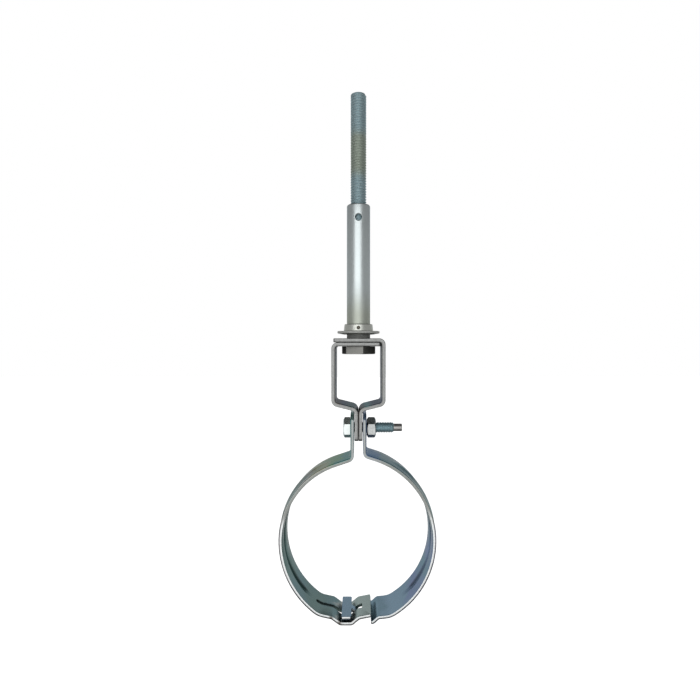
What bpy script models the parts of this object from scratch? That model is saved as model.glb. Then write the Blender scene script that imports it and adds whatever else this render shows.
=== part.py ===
"""Seismic pipe hanger.

A threaded rod screws into a long sleeve nut with a hexagon head.  Two bent straps hang on
that head and swivel there, and a flanged collar staked to the sleeve stops them lifting.
Their tabs are clamped between the ears of a two-piece pipe band by one bolt and nut.
Below, the two halves of the band hook together: a T-shaped tongue sits in a slotted dip.

The frame's origin is the centre of the rod's top face, +Z is up and -Y is the front.
"""

import math

import bmesh
import bpy
from mathutils import Matrix, Vector

MM = 0.001

# Clearances
PLAY = 0.3 * MM                  # a round piece in its hole, or a face on its seat
PLATE_PLAY = 0.25 * MM           # between the flat plates that the bolt holds together
LEG_PLAY = 0.5 * MM              # between the bracket's two top legs

# Hanger rod, a 3/8 inch threaded rod
ROD_DIAMETER = 9.4 * MM
ROD_LENGTH = 96.4 * MM
ROD_CHAMFER = 0.7 * MM
ROD_ENGAGEMENT = 30.0 * MM       # how far the rod is screwed into the sleeve

# Sleeve nut
SLEEVE_DIAMETER = 14.0 * MM
SLEEVE_LENGTH = 85.2 * MM        # from the top edge to the top of the hexagon
SLEEVE_CHAMFER = 0.9 * MM
SLEEVE_FLATS = 18.0 * MM
SLEEVE_HEAD_HEIGHT = 4.1 * MM
SLEEVE_HEAD_TURN = math.radians(-15)
SIGHT_HOLE_DIAMETER = 4.1 * MM
SIGHT_HOLE_DROP = 8.4 * MM       # below the sleeve's top edge

# Flanged collar, staked to the sleeve
COLLAR_TOP_DIAMETER = 16.8 * MM
COLLAR_FOOT_DIAMETER = 17.6 * MM
COLLAR_HEIGHT = 4.2 * MM
COLLAR_EDGE = 0.5 * MM
FLANGE_DIAMETER = 25.3 * MM
FLANGE_ROOT = 2.0 * MM           # flange thickness at the collar
FLANGE_RIM = 1.3 * MM            # flange thickness at its rim
COLLAR_LIFT = 2.2 * MM           # free play of the bracket under the flange
STAKE_DIAMETER = 2.0 * MM
STAKE_DROP = 2.2 * MM            # below the collar's top edge

# Bracket straps
STRAP_WIDTH = 25.0 * MM          # both the bracket's straps and the band
STRAP_THICKNESS = 2.3 * MM
BRACKET_HALF_WIDTH = 15.75 * MM
SHOULDER_DROP = 34.4 * MM        # from the lower leg down to the shoulder, on centre lines
SHOULDER_SLOPE = math.radians(14)
UPPER_LEG_END = 14.6 * MM        # past the rod's axis
TOP_BEND = 1.4 * MM              # inside radii of the bends
SHOULDER_BEND = 1.9 * MM
TAB_BEND = 2.2 * MM
BOLT_DROP = 12.0 * MM            # from the shoulder's foot to the bolt's axis
TAB_END = 6.4 * MM               # from the bolt's axis to the tab's end
TAB_CORNER = 2.0 * MM

# Clamp bolt and nut, 1/4 inch
BOLT_DIAMETER = 6.35 * MM
BOLT_FLATS = 11.0 * MM
BOLT_HEAD_HEIGHT = 4.2 * MM
BOLT_THREAD_END = 10.7 * MM      # thread that stands out of the nut
DOG_DIAMETER = 4.5 * MM
DOG_LENGTH = 5.0 * MM
NUT_HEIGHT = 5.5 * MM
HEX_TURN = math.radians(12)      # front corner above level
HEX_CHAMFER = math.radians(30)
HEX_FACE = 0.97                  # a chamfered face, as a share of the width across flats

# Pipe band
BAND_THICKNESS = 2.0 * MM
EAR_RISE = 9.5 * MM              # from the bolt's axis to the ear's top
EAR_CORNER = 5.1 * MM
EAR_BEND = 2.0 * MM              # inside radius between ear and ring
RING_DROP = 64.3 * MM            # from the bolt's axis to the ring's centre
LEFT_REACH = 44.4 * MM           # inside, from the centre plane to the left
LEFT_UPPER_RADIUS = 45.6 * MM    # each half is rolled to one radius above its widest line
LEFT_LOWER_RADIUS = 50.7 * MM    # and to another below it, both inside
LEFT_RING_START = 13.5 * MM      # the roll's ends, from the centre plane
LEFT_RING_END = 27.0 * MM
RIGHT_REACH = 43.2 * MM
RIGHT_UPPER_RADIUS = 49.0 * MM
RIGHT_LOWER_RADIUS = 48.4 * MM
RIGHT_RING_START = 9.0 * MM
RIGHT_RING_END = 22.0 * MM
RUN_BEND = 11.0 * MM             # inside radius where the ring flattens out to its hook
LEFT_RUN_LEAD = 4.42 * MM        # straight on from the roll's lower end to that bend
RIGHT_RUN_LEAD = 3.95 * MM
OPEN_HOLE_RISE = 1.0 * MM        # half the extra height of the right ear's oval hole

# Stiffening bead pressed outwards along each half band
BEAD_WIDTH = 8.0 * MM
BEAD_HEIGHT = 0.9 * MM
BEAD_RUN_OUT = 7.0 * MM
BEAD_TOP = 17.0 * MM             # its ends, measured from the centre plane
BEAD_FOOT = 29.5 * MM
BEAD_STRIPS = 6                  # strips of faces across it

# Hook joint: the slotted dip of the left half, seen from the front
DIP_DEPTH = 47.7 * MM            # below the ring's centre
DIP_MOUTH = 15.4 * MM            # left of the centre plane
DIP_MOUTH_RISE = 3.5 * MM        # above the dip
DIP_LEFT = 10.6 * MM
DIP_RIGHT = 3.9 * MM
DIP_BEND = 1.2 * MM              # inside radius
CREST_RISE = 3.4 * MM            # crest and lip, above the dip
CREST_END = 0.2 * MM             # right of the centre plane
CREST_BEND = 2.2 * MM
LIP_RISE = 4.8 * MM
LIP_END = 7.4 * MM
SLOT_LEFT = 26.0 * MM
SLOT_RIGHT = 2.3 * MM

# Hook joint: the tongue of the right half
RIGHT_RUN_IN = 11.5 * MM         # where its flat run starts to fall
RIGHT_RUN_RISE = 3.55 * MM       # above the dip
FALL_END = 8.5 * MM
FALL_RISE = 0.8 * MM
SHOULDER_EDGE = 7.2 * MM         # where the full width ends, under the left half's lip
NECK_WIDTH = 4.4 * MM
NECK_FOOT = 0.4 * MM
NECK_RISE = 0.5 * MM
HEAD_RISE = 3.3 * MM
HEAD_RIGHT = 4.4 * MM            # left of the centre plane
HEAD_LEFT = 9.9 * MM
HEAD_BEND = 0.6 * MM
HOOK_PIVOT_X = -2.0 * MM
HOOK_PIVOT_RISE = 1.9 * MM       # above the dip's centre line

# Mesh fineness
ROUND_SEGMENTS = 48
SMALL_SEGMENTS = 24
BEND_STEP = math.radians(15)
RING_STEP = math.radians(5)
CUT_MARGIN = 1.0 * MM            # how far a cutter runs past what it cuts
BEND_ROOM = 0.75                 # the most that a bend takes of the straight beside it
CORNER_MARGIN = 0.1 * MM         # how far a chamfer's cone reaches past a hexagon's corners
JOINT_MARK = 5.0 * MM
MERGE_DISTANCE = 0.00001 * MM
SHARP_ANGLE = math.radians(30)

# Finishes: colour and roughness
ROD_ZINC = ((0.33, 0.40, 0.44), 0.38)
SLEEVE_ZINC = ((0.62, 0.64, 0.64), 0.42)
BRACKET_ZINC = ((0.45, 0.46, 0.44), 0.40)
BAND_ZINC = ((0.40, 0.47, 0.50), 0.35)
BOLT_ZINC = ((0.34, 0.40, 0.43), 0.30)

# Levels along the rod's axis, worked out from the sizes above
SLEEVE_TOP = -(ROD_LENGTH - ROD_ENGAGEMENT)
HEAD_TOP = SLEEVE_TOP - SLEEVE_LENGTH
LOWER_LEG = HEAD_TOP + PLAY + STRAP_THICKNESS / 2
UPPER_LEG = LOWER_LEG + STRAP_THICKNESS + LEG_PLAY
FLANGE_FOOT = UPPER_LEG + STRAP_THICKNESS / 2 + COLLAR_LIFT
COLLAR_TOP = FLANGE_FOOT + FLANGE_ROOT + COLLAR_HEIGHT
TAB_X = PLATE_PLAY / 2 + STRAP_THICKNESS / 2
WALL_X = BRACKET_HALF_WIDTH - STRAP_THICKNESS / 2
LEG_DEPTH = min(LEG_PLAY, TOP_BEND)
LEG_REACH = math.sqrt(LEG_DEPTH * (2 * TOP_BEND - LEG_DEPTH)) - TOP_BEND - PLAY
LOWER_LEG_END = BRACKET_HALF_WIDTH - STRAP_THICKNESS + LEG_REACH
SHOULDER_TOP = LOWER_LEG - SHOULDER_DROP
SHOULDER_FOOT = SHOULDER_TOP - (WALL_X - TAB_X) * math.tan(SHOULDER_SLOPE)
BOLT_Z = SHOULDER_FOOT - BOLT_DROP
TAB_FOOT = BOLT_Z - TAB_END

# The band's places, on its centre lines
EAR_X = TAB_X + STRAP_THICKNESS / 2 + PLATE_PLAY + BAND_THICKNESS / 2
EAR_FACE = EAR_X + BAND_THICKNESS / 2
EAR_TOP = BOLT_Z + EAR_RISE
RING_Z = BOLT_Z - RING_DROP
DIP_Z = RING_Z - DIP_DEPTH
HOOK_PIVOT = Vector((HOOK_PIVOT_X, 0, DIP_Z + HOOK_PIVOT_RISE))
BOLT_CENTRE = Vector((0, 0, BOLT_Z))
NUT_FACE = EAR_FACE + PLATE_PLAY
SLOT_WIDTH = NECK_WIDTH + 2 * PLAY
BOLT_HOLE = BOLT_DIAMETER + 2 * PLAY

# Turns a shape drawn along Z to lie along X: its x becomes Y, and its y becomes Z
ALONG_X = Matrix(((0, 0, 1, 0), (1, 0, 0, 0), (0, 1, 0, 0), (0, 0, 0, 1)))
# Turns a shape drawn along Z to face the front
ALONG_Y = Matrix.Rotation(math.radians(90), 4, "X")


def clear_scene():
    """Removes every object that the file opened with."""
    for old in list(bpy.data.objects):
        bpy.data.objects.remove(old, do_unlink=True)


def metal(name, colour, roughness):
    """Makes a bright metal material."""
    material = bpy.data.materials.new(name)
    material.use_nodes = True
    shader = material.node_tree.nodes["Principled BSDF"]
    shader.inputs["Base Color"].default_value = (*colour, 1.0)
    shader.inputs["Roughness"].default_value = roughness
    shader.inputs["Metallic"].default_value = 1.0
    material.diffuse_color = (*colour, 1.0)
    return material


def add_mesh(name, bm):
    """Puts a bmesh into a new object with smooth round faces and sharp edges."""
    bmesh.ops.remove_doubles(bm, verts=bm.verts, dist=MERGE_DISTANCE)
    bmesh.ops.recalc_face_normals(bm, faces=bm.faces)
    for face in bm.faces:
        face.smooth = True
    for edge in bm.edges:
        edge.smooth = not edge.is_boundary and edge.calc_face_angle(0) < SHARP_ANGLE
    mesh = bpy.data.meshes.new(name)
    bm.to_mesh(mesh)
    bm.free()
    made = bpy.data.objects.new(name, mesh)
    bpy.context.collection.objects.link(made)
    return made


def lathe(name, profile, segments=ROUND_SEGMENTS, turn=Matrix.Identity(4)):
    """Spins (radius, height) points about the Z axis, then turns and places the result."""
    bm = bmesh.new()
    points = [bm.verts.new((radius, 0, height)) for radius, height in profile]
    edges = [bm.edges.new(pair) for pair in zip(points, points[1:])]
    if profile[0][0] > 0:
        edges.append(bm.edges.new((points[-1], points[0])))
    bmesh.ops.spin(bm, geom=points + edges, axis=(0, 0, 1), cent=(0, 0, 0),
                   angle=math.tau, steps=segments, use_merge=True)
    bmesh.ops.transform(bm, matrix=turn, verts=bm.verts)
    return add_mesh(name, bm)


def prism(name, outlines, low, high, turn=Matrix.Identity(4)):
    """Extrudes flat outlines along Z from low to high, then turns and places the result."""
    bm = bmesh.new()
    for outline in outlines:
        face = bm.faces.new([bm.verts.new((u, v, low)) for u, v in outline])
        raised = bmesh.ops.extrude_face_region(bm, geom=[face])["geom"]
        top = [item for item in raised if isinstance(item, bmesh.types.BMVert)]
        bmesh.ops.translate(bm, verts=top, vec=(0, 0, high - low))
    bmesh.ops.transform(bm, matrix=turn, verts=bm.verts)
    return add_mesh(name, bm)


def arc(centre, radius, start, sweep, step=BEND_STEP):
    """Gives the points of an arc, both ends included."""
    count = max(2, math.ceil(abs(sweep) / step))
    angles = [start + sweep * index / count for index in range(count + 1)]
    return [(centre[0] + radius * math.cos(a), centre[1] + radius * math.sin(a)) for a in angles]


def oval(u, v, radius, rise):
    """Outlines a hole whose two half circles lie the rise above and below its centre."""
    upper = arc((u, v + rise), radius, 0, math.pi)
    lower = arc((u, v - rise), radius, math.pi, math.pi)
    return upper + lower if rise else upper + lower[1:-1]


def cut(piece, tool, operation="DIFFERENCE"):
    """Cuts a piece with a tool, or joins the tool to it, and hides the tool."""
    tool.hide_render = True
    tool.display_type = "WIRE"
    modifier = piece.modifiers.new(tool.name, "BOOLEAN")
    modifier.operation = operation
    modifier.solver = "EXACT"
    modifier.object = tool


def rounded_path(corners):
    """Joins (x, z, radius) corners by straight runs, with an arc at each one with a radius."""
    path = []
    for index, (x, z, radius) in enumerate(corners):
        corner = Vector((x, z))
        if not radius:
            path.append(corner)
            continue
        back_run = Vector(corners[index - 1][:2]) - corner
        ahead_run = Vector(corners[index + 1][:2]) - corner
        back = back_run.normalized()
        ahead = ahead_run.normalized()
        half = back.angle(ahead) / 2
        reach = min(radius / math.tan(half), BEND_ROOM * min(back_run.length, ahead_run.length))
        radius = reach * math.tan(half)
        centre = corner + (back + ahead).normalized() * radius / math.sin(half)
        first = corner + back * reach - centre
        last = corner + ahead * reach - centre
        start = math.atan2(first.y, first.x)
        sweep = math.remainder(math.atan2(last.y, last.x) - start, math.tau)
        path += [Vector(point) for point in arc(centre, radius, start, sweep)]
    return path


def bent_sheet(name, path, thickness, rows=(-0.5, 0.5), swell=None):
    """Bends a flat grid along a path in the XZ plane and gives it its thickness.

    The rows run along the strap, as shares of its width.  The swell gives how far the sheet
    is pressed out of its path at a point of the path and a distance from its middle.
    """
    bm = bmesh.new()
    bmesh.ops.create_grid(bm, x_segments=len(path) - 1, y_segments=len(rows) - 1, size=1)
    for vert in bm.verts:
        station = round((vert.co.x + 1) / 2 * (len(path) - 1))
        across = rows[round((vert.co.y + 1) / 2 * (len(rows) - 1))] * STRAP_WIDTH
        here = path[station]
        along = path[min(station + 1, len(path) - 1)] - path[max(station - 1, 0)]
        side = Vector((along.y, -along.x)).normalized()
        if swell:
            here = here + side * swell(here, across)
        vert.co = (here.x, across, here.y)
    sheet = add_mesh(name, bm)
    wall = sheet.modifiers.new("sheet", "SOLIDIFY")
    wall.thickness = thickness
    wall.offset = 0
    wall.use_even_offset = True
    return sheet


def corner_waste(half_width, edge, radius, up):
    """Outlines the waste beyond the two rounded corners of a strap's end.

    The edge is the end's height, and up is 1 for a top end and -1 for a bottom end.
    """
    wastes = []
    for side in (-1, 1):
        middle = (side * (half_width - radius), edge - up * radius)
        start = math.pi / 2 * up
        round_end = arc(middle, radius, start, -side * up * math.pi / 2)
        outer = side * (half_width + CUT_MARGIN)
        over = edge + up * CUT_MARGIN
        waste = [(outer, middle[1]), (outer, over), (middle[0], over)]
        wastes.append(round_end + waste)
    return wastes


def hexagon(name, flats, low, high, turn, chamfers, place=Matrix.Identity(4)):
    """Makes a hexagonal head or nut along Z with its corners chamfered at the given ends."""
    radius = flats / 2 / math.cos(math.pi / 6)
    outline = [(radius * math.cos(turn + math.pi / 3 * index),
                radius * math.sin(turn + math.pi / 3 * index)) for index in range(6)]
    solid = prism(name, [outline], low, high, place)
    face = flats / 2 * HEX_FACE
    wide = radius + CORNER_MARGIN
    fall = (radius - face) * math.tan(HEX_CHAMFER)
    bottom = [(0, low - CUT_MARGIN), (wide, low - CUT_MARGIN)]
    top = [(wide, high + CUT_MARGIN), (0, high + CUT_MARGIN)]
    if "low" in chamfers:
        bottom = [(0, low), (face, low), (wide, low + fall)]
    if "high" in chamfers:
        top = [(wide, high - fall), (face, high), (0, high)]
    cut(solid, lathe(name + "_corners", bottom + top, SMALL_SEGMENTS, place), "INTERSECT")
    return solid


def make_rod():
    """The rod, plain here at its thread's outer diameter."""
    radius = ROD_DIAMETER / 2
    foot = -ROD_LENGTH
    profile = [(0, 0), (radius, 0), (radius, foot + ROD_CHAMFER), (radius - ROD_CHAMFER, foot),
               (0, foot)]
    return lathe("hanger_rod", profile, SMALL_SEGMENTS)


def make_sleeve():
    """The sleeve nut: a bored tube with a hexagon head and a sight hole for the rod's end."""
    foot = HEAD_TOP - SLEEVE_HEAD_HEIGHT
    radius = SLEEVE_DIAMETER / 2
    bore = ROD_DIAMETER / 2 + PLAY
    sleeve = hexagon("sleeve_nut", SLEEVE_FLATS, foot, HEAD_TOP, SLEEVE_HEAD_TURN, ("low",))
    shank = lathe("sleeve_shank", [(0, SLEEVE_TOP), (radius - SLEEVE_CHAMFER, SLEEVE_TOP),
                                   (radius, SLEEVE_TOP - SLEEVE_CHAMFER),
                                   (radius, HEAD_TOP - SLEEVE_HEAD_HEIGHT / 2),
                                   (0, HEAD_TOP - SLEEVE_HEAD_HEIGHT / 2)])
    cut(sleeve, shank, "UNION")
    sight = Matrix.Translation((0, 0, SLEEVE_TOP - SIGHT_HOLE_DROP)) @ ALONG_Y
    hole = SIGHT_HOLE_DIAMETER / 2
    cut(sleeve, lathe("sight_hole_drill", [(0, 0), (hole, 0), (hole, radius + CUT_MARGIN),
                                           (0, radius + CUT_MARGIN)], SMALL_SEGMENTS, sight))
    top = SLEEVE_TOP + CUT_MARGIN
    cut(sleeve, lathe("sleeve_bore", [(0, top), (bore, top), (bore, foot - CUT_MARGIN),
                                      (0, foot - CUT_MARGIN)]))
    return sleeve


def make_collar():
    """The flanged collar with the mark of the stake that holds it on the sleeve."""
    bore = SLEEVE_DIAMETER / 2 + PLAY
    root = FLANGE_FOOT + FLANGE_ROOT
    rim = FLANGE_DIAMETER / 2
    collar = lathe("flanged_collar", [
        (bore, COLLAR_TOP), (COLLAR_TOP_DIAMETER / 2 - COLLAR_EDGE, COLLAR_TOP),
        (COLLAR_TOP_DIAMETER / 2, COLLAR_TOP - COLLAR_EDGE), (COLLAR_FOOT_DIAMETER / 2, root),
        (rim, root), (rim, root - FLANGE_RIM), (COLLAR_FOOT_DIAMETER / 2, FLANGE_FOOT),
        (bore, FLANGE_FOOT)])
    stake = Matrix.Translation((0, 0, COLLAR_TOP - STAKE_DROP)) @ ALONG_Y
    mark = STAKE_DIAMETER / 2
    reach = COLLAR_FOOT_DIAMETER / 2 + CUT_MARGIN
    cut(collar, lathe("stake_drill", [(0, bore - CUT_MARGIN), (mark, bore - CUT_MARGIN),
                                      (mark, reach), (0, reach)], SMALL_SEGMENTS, stake))
    return collar


def make_bracket_half(name, side, leg, leg_end):
    """One of the bracket's straps: a top leg, a wall, a sloped shoulder and a tab.

    The side is -1 for the left strap and 1 for the right, and the leg is its height.
    """
    half = STRAP_THICKNESS / 2
    strap = bent_sheet(name, rounded_path([
        (-side * leg_end, leg, 0),
        (side * WALL_X, leg, TOP_BEND + half),
        (side * WALL_X, SHOULDER_TOP, SHOULDER_BEND + half),
        (side * TAB_X, SHOULDER_FOOT, TAB_BEND + half),
        (side * TAB_X, TAB_FOOT, 0)]), STRAP_THICKNESS)
    hole = SLEEVE_DIAMETER / 2 + PLAY
    over = UPPER_LEG + STRAP_THICKNESS
    under = LOWER_LEG - STRAP_THICKNESS
    cut(strap, lathe(name + "_sleeve_drill", [(0, over), (hole, over), (hole, under), (0, under)]))
    reach = EAR_FACE
    cut(strap, prism(name + "_bolt_drill", [oval(0, BOLT_Z, BOLT_HOLE / 2, 0)], -reach, reach,
                     ALONG_X))
    cut(strap, prism(name + "_corner_waste",
                     corner_waste(STRAP_WIDTH / 2, TAB_FOOT, TAB_CORNER, -1), -reach, reach,
                     ALONG_X))
    return strap


def half_ring(side, reach, radii, ends, lead):
    """Gives the corners of a half band from its ear's top to where its ring flattens out.

    The radii are the upper and the lower one, the ends are the roll's two distances from
    the centre plane, and the lead is the straight that leads on from the lower end.
    """
    half = BAND_THICKNESS / 2
    corners = []
    turns = ((radii[0] + half, 0, ends[0]), (radii[1] + half, math.pi, ends[1]))
    for radius, pole, end in turns:
        middle = reach + half - radius
        tip = abs(pole - math.asin((end - middle) / radius))
        first, last = (tip, math.pi / 2) if pole == 0 else (math.pi / 2, tip)
        count = math.ceil((last - first) / RING_STEP)
        for index in range(count + 1 if pole else count):
            angle = first + (last - first) * index / count
            corners.append((side * (middle + radius * math.sin(angle)),
                            RING_Z + radius * math.cos(angle), 0))
        if pole == 0:
            ear_foot = corners[0][1] + (end - EAR_X) * math.tan(tip)
    ear = [(side * EAR_X, EAR_TOP, 0), (side * EAR_X, ear_foot, EAR_BEND + half)]
    run = ends[1] + lead * math.cos(tip)
    run_height = corners[-1][1] - lead * math.sin(tip)
    return ear + corners + [(side * run, run_height, RUN_BEND + half)]


def bead_swell(side):
    """Gives the pressed bead's height at a point of a half band, fading out at both ends."""
    def swell(here, across):
        if abs(across) >= BEAD_WIDTH / 2:
            return 0
        end = BEAD_TOP if here.y > RING_Z else BEAD_FOOT
        fade = min(max((abs(here.x) - end) / BEAD_RUN_OUT, 0), 1)
        fade = fade * fade * (3 - 2 * fade)
        crown = (1 + math.cos(math.tau * across / BEAD_WIDTH)) / 2
        return -side * BEAD_HEIGHT * fade * crown
    return swell


def band_rows():
    """Gives the lines along a half band, as shares of its width, closer on the bead."""
    share = BEAD_WIDTH / STRAP_WIDTH
    bead = [share * (index / BEAD_STRIPS - 0.5) for index in range(BEAD_STRIPS + 1)]
    return [-0.5] + bead + [0.5]


def drill_ear(band, rise):
    """Rounds an ear's top corners and drills its bolt hole."""
    reach = EAR_FACE + CUT_MARGIN
    cut(band, prism(band.name + "_ear_waste",
                    corner_waste(STRAP_WIDTH / 2, EAR_TOP, EAR_CORNER, 1), -reach, reach,
                    ALONG_X))
    cut(band, prism(band.name + "_bolt_drill", [oval(0, BOLT_Z, BOLT_HOLE / 2, rise)],
                    -reach, reach, ALONG_X))


def make_band_left():
    """The left half band, whose foot dips, rises to a crest and is slotted for the tongue."""
    half = BAND_THICKNESS / 2
    corners = half_ring(-1, LEFT_REACH, (LEFT_UPPER_RADIUS, LEFT_LOWER_RADIUS),
                        (LEFT_RING_START, LEFT_RING_END), LEFT_RUN_LEAD)
    corners += [(-DIP_MOUTH, DIP_Z + DIP_MOUTH_RISE, DIP_BEND + half),
                (-DIP_LEFT, DIP_Z, DIP_BEND + half),
                (-DIP_RIGHT, DIP_Z, DIP_BEND + half),
                (CREST_END, DIP_Z + CREST_RISE, CREST_BEND + half),
                (LIP_END, DIP_Z + LIP_RISE, 0)]
    path = rounded_path(corners)
    band = bent_sheet("band_left", path, BAND_THICKNESS, band_rows(), bead_swell(-1))
    end = SLOT_WIDTH / 2
    slot = arc((-SLOT_LEFT + end, 0), end, math.pi / 2, math.pi)
    slot += [(SLOT_RIGHT, -end), (SLOT_RIGHT, end)]
    foot = min(point.y for point in path) - BAND_THICKNESS
    cut(band, prism("slot_cutter", [slot], foot, RING_Z))
    drill_ear(band, 0)
    return band


def make_band_right():
    """The right half band, whose foot narrows to a neck with a T-shaped head."""
    half = BAND_THICKNESS / 2
    corners = half_ring(1, RIGHT_REACH, (RIGHT_UPPER_RADIUS, RIGHT_LOWER_RADIUS),
                        (RIGHT_RING_START, RIGHT_RING_END), RIGHT_RUN_LEAD)
    corners += [(RIGHT_RUN_IN, DIP_Z + RIGHT_RUN_RISE, DIP_BEND + half),
                (FALL_END, DIP_Z + FALL_RISE, DIP_BEND + half),
                (NECK_FOOT, DIP_Z + NECK_RISE, DIP_BEND + half),
                (-HEAD_RIGHT, DIP_Z + HEAD_RISE, HEAD_BEND + half),
                (-HEAD_LEFT, DIP_Z + HEAD_RISE, 0)]
    band = bent_sheet("band_right", rounded_path(corners), BAND_THICKNESS, band_rows(),
                      bead_swell(1))
    neck = NECK_WIDTH / 2
    edge = STRAP_WIDTH / 2 + CUT_MARGIN
    wastes = [[(-HEAD_RIGHT, side * neck), (SHOULDER_EDGE, side * neck),
               (SHOULDER_EDGE, side * edge), (-HEAD_RIGHT, side * edge)] for side in (-1, 1)]
    cut(band, prism("neck_waste", wastes, DIP_Z - BAND_THICKNESS, RING_Z))
    drill_ear(band, OPEN_HOLE_RISE)
    return band


def make_bolt():
    """The clamp bolt, with a plain dog point that starts it in the nut."""
    place = Matrix.Translation((0, 0, BOLT_Z)) @ ALONG_X
    under = -NUT_FACE
    end = NUT_FACE + NUT_HEIGHT + BOLT_THREAD_END
    radius = BOLT_DIAMETER / 2
    dog = DOG_DIAMETER / 2
    bolt = hexagon("clamp_bolt", BOLT_FLATS, under - BOLT_HEAD_HEIGHT, under,
                   math.pi - HEX_TURN, ("low",), place)
    slope = radius - dog
    shank = lathe("bolt_shank", [(0, under - BOLT_HEAD_HEIGHT / 2),
                                 (radius, under - BOLT_HEAD_HEIGHT / 2), (radius, end - slope),
                                 (dog, end), (dog, end + DOG_LENGTH), (0, end + DOG_LENGTH)],
                  SMALL_SEGMENTS, place)
    cut(bolt, shank, "UNION")
    return bolt


def make_nut():
    """The clamp nut, drawn up to the right ear."""
    place = Matrix.Translation((0, 0, BOLT_Z)) @ ALONG_X
    far = NUT_FACE + NUT_HEIGHT
    bore = BOLT_DIAMETER / 2 + PLAY
    nut = hexagon("clamp_nut", BOLT_FLATS, NUT_FACE, far, math.pi - HEX_TURN,
                  ("low", "high"), place)
    cut(nut, lathe("nut_drill", [(0, NUT_FACE - CUT_MARGIN), (bore, NUT_FACE - CUT_MARGIN),
                                 (bore, far + CUT_MARGIN), (0, far + CUT_MARGIN)],
                   SMALL_SEGMENTS, place))
    return nut


def add_joint(name, place, parent=None):
    """Adds an empty at a joint, carried by the joint above it."""
    joint = bpy.data.objects.new(name, None)
    joint["place"] = tuple(place)
    joint.empty_display_size = JOINT_MARK
    bpy.context.collection.objects.link(joint)
    joint.location = place
    if parent:
        joint.parent = parent
        joint.location = place - Vector(parent["place"])
    return joint


def carry(joint, piece, material):
    """Moves a piece's origin to its joint, hangs it there and gives it its material."""
    piece.data.transform(Matrix.Translation(-Vector(joint["place"])))
    piece.parent = joint
    piece.data.materials.append(material)


def main():
    """Builds the hanger."""
    clear_scene()
    rod_finish = metal("rod_zinc", *ROD_ZINC)
    sleeve_finish = metal("sleeve_zinc", *SLEEVE_ZINC)
    bracket_finish = metal("bracket_zinc", *BRACKET_ZINC)
    band_finish = metal("band_zinc", *BAND_ZINC)
    bolt_finish = metal("bolt_zinc", *BOLT_ZINC)

    hang = add_joint("rod_hang", Vector((0, 0, 0)))
    height = add_joint("height_adjust", Vector((0, 0, SLEEVE_TOP)), hang)
    swivel = add_joint("bracket_swivel", Vector((0, 0, HEAD_TOP)), height)
    tilt = add_joint("band_tilt", BOLT_CENTRE, swivel)
    travel = add_joint("nut_travel", BOLT_CENTRE, tilt)
    hook = add_joint("band_open", HOOK_PIVOT, tilt)

    carry(hang, make_rod(), rod_finish)
    carry(height, make_sleeve(), sleeve_finish)
    carry(height, make_collar(), sleeve_finish)
    carry(swivel, make_bracket_half("bracket_left", -1, LOWER_LEG, LOWER_LEG_END),
          bracket_finish)
    carry(swivel, make_bracket_half("bracket_right", 1, UPPER_LEG, UPPER_LEG_END),
          bracket_finish)
    carry(tilt, make_band_left(), band_finish)
    carry(tilt, make_bolt(), bolt_finish)
    carry(travel, make_nut(), bolt_finish)
    carry(hook, make_band_right(), band_finish)


main()
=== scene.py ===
"""Looks of a seismic pipe hanger, laid out as a Blender add-on and run as a script.

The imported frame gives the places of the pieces.  Each piece is rebuilt here with its fine
surface: rolled threads, rounded sheet edges, a pressed bead, and zinc plating with its film.
"""

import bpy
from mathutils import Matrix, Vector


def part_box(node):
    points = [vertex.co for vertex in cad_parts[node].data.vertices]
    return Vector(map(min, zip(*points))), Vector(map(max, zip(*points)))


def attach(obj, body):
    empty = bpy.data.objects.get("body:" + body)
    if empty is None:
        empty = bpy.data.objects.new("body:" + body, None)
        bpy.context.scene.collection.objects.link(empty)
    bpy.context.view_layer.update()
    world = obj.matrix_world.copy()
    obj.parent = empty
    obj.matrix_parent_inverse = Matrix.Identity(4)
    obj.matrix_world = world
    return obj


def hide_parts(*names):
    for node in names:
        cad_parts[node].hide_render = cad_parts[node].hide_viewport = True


bl_info = {
    "name": "Seismic Pipe Hanger",
    "version": (1, 0, 0),
    "blender": (4, 5, 0),
    "location": "3D View > Sidebar > Pipe Hanger",
    "description": "Builds a zinc plated pipe hanger with its threads, straps and hooked band",
    "category": "Add Mesh",
}

import math
from typing import NamedTuple

import bmesh
import bpy
from bpy.props import FloatProperty, FloatVectorProperty, IntProperty, PointerProperty
from mathutils import Matrix, Vector

MM = 0.001

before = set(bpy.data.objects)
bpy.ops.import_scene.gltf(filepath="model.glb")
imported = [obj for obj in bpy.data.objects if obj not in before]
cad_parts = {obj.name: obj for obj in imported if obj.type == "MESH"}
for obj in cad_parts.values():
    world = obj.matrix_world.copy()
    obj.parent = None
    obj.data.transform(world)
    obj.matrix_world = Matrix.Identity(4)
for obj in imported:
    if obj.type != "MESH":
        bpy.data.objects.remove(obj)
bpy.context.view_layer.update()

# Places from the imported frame
ROD_LOW, ROD_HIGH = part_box("hanger_rod")
SLEEVE_LOW, SLEEVE_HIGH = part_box("sleeve_nut")
COLLAR_LOW, COLLAR_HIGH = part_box("flanged_collar")
LEFT_LOW, LEFT_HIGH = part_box("bracket_left")
RIGHT_LOW, RIGHT_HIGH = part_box("bracket_right")
BAND_LEFT_LOW, BAND_LEFT_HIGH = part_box("band_left")
BOLT_LOW, BOLT_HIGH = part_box("clamp_bolt")
NUT_LOW, NUT_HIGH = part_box("clamp_nut")
BOLT_Z = (NUT_LOW.z + NUT_HIGH.z) / 2
STRAP_HALF = RIGHT_HIGH.y

# Mesh fineness
MERGE = 0.0004 * MM
THREAD_MERGE = 0.003 * MM
BISECT_SNAP = 0.0005 * MM
SHARP = math.radians(32)
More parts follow.
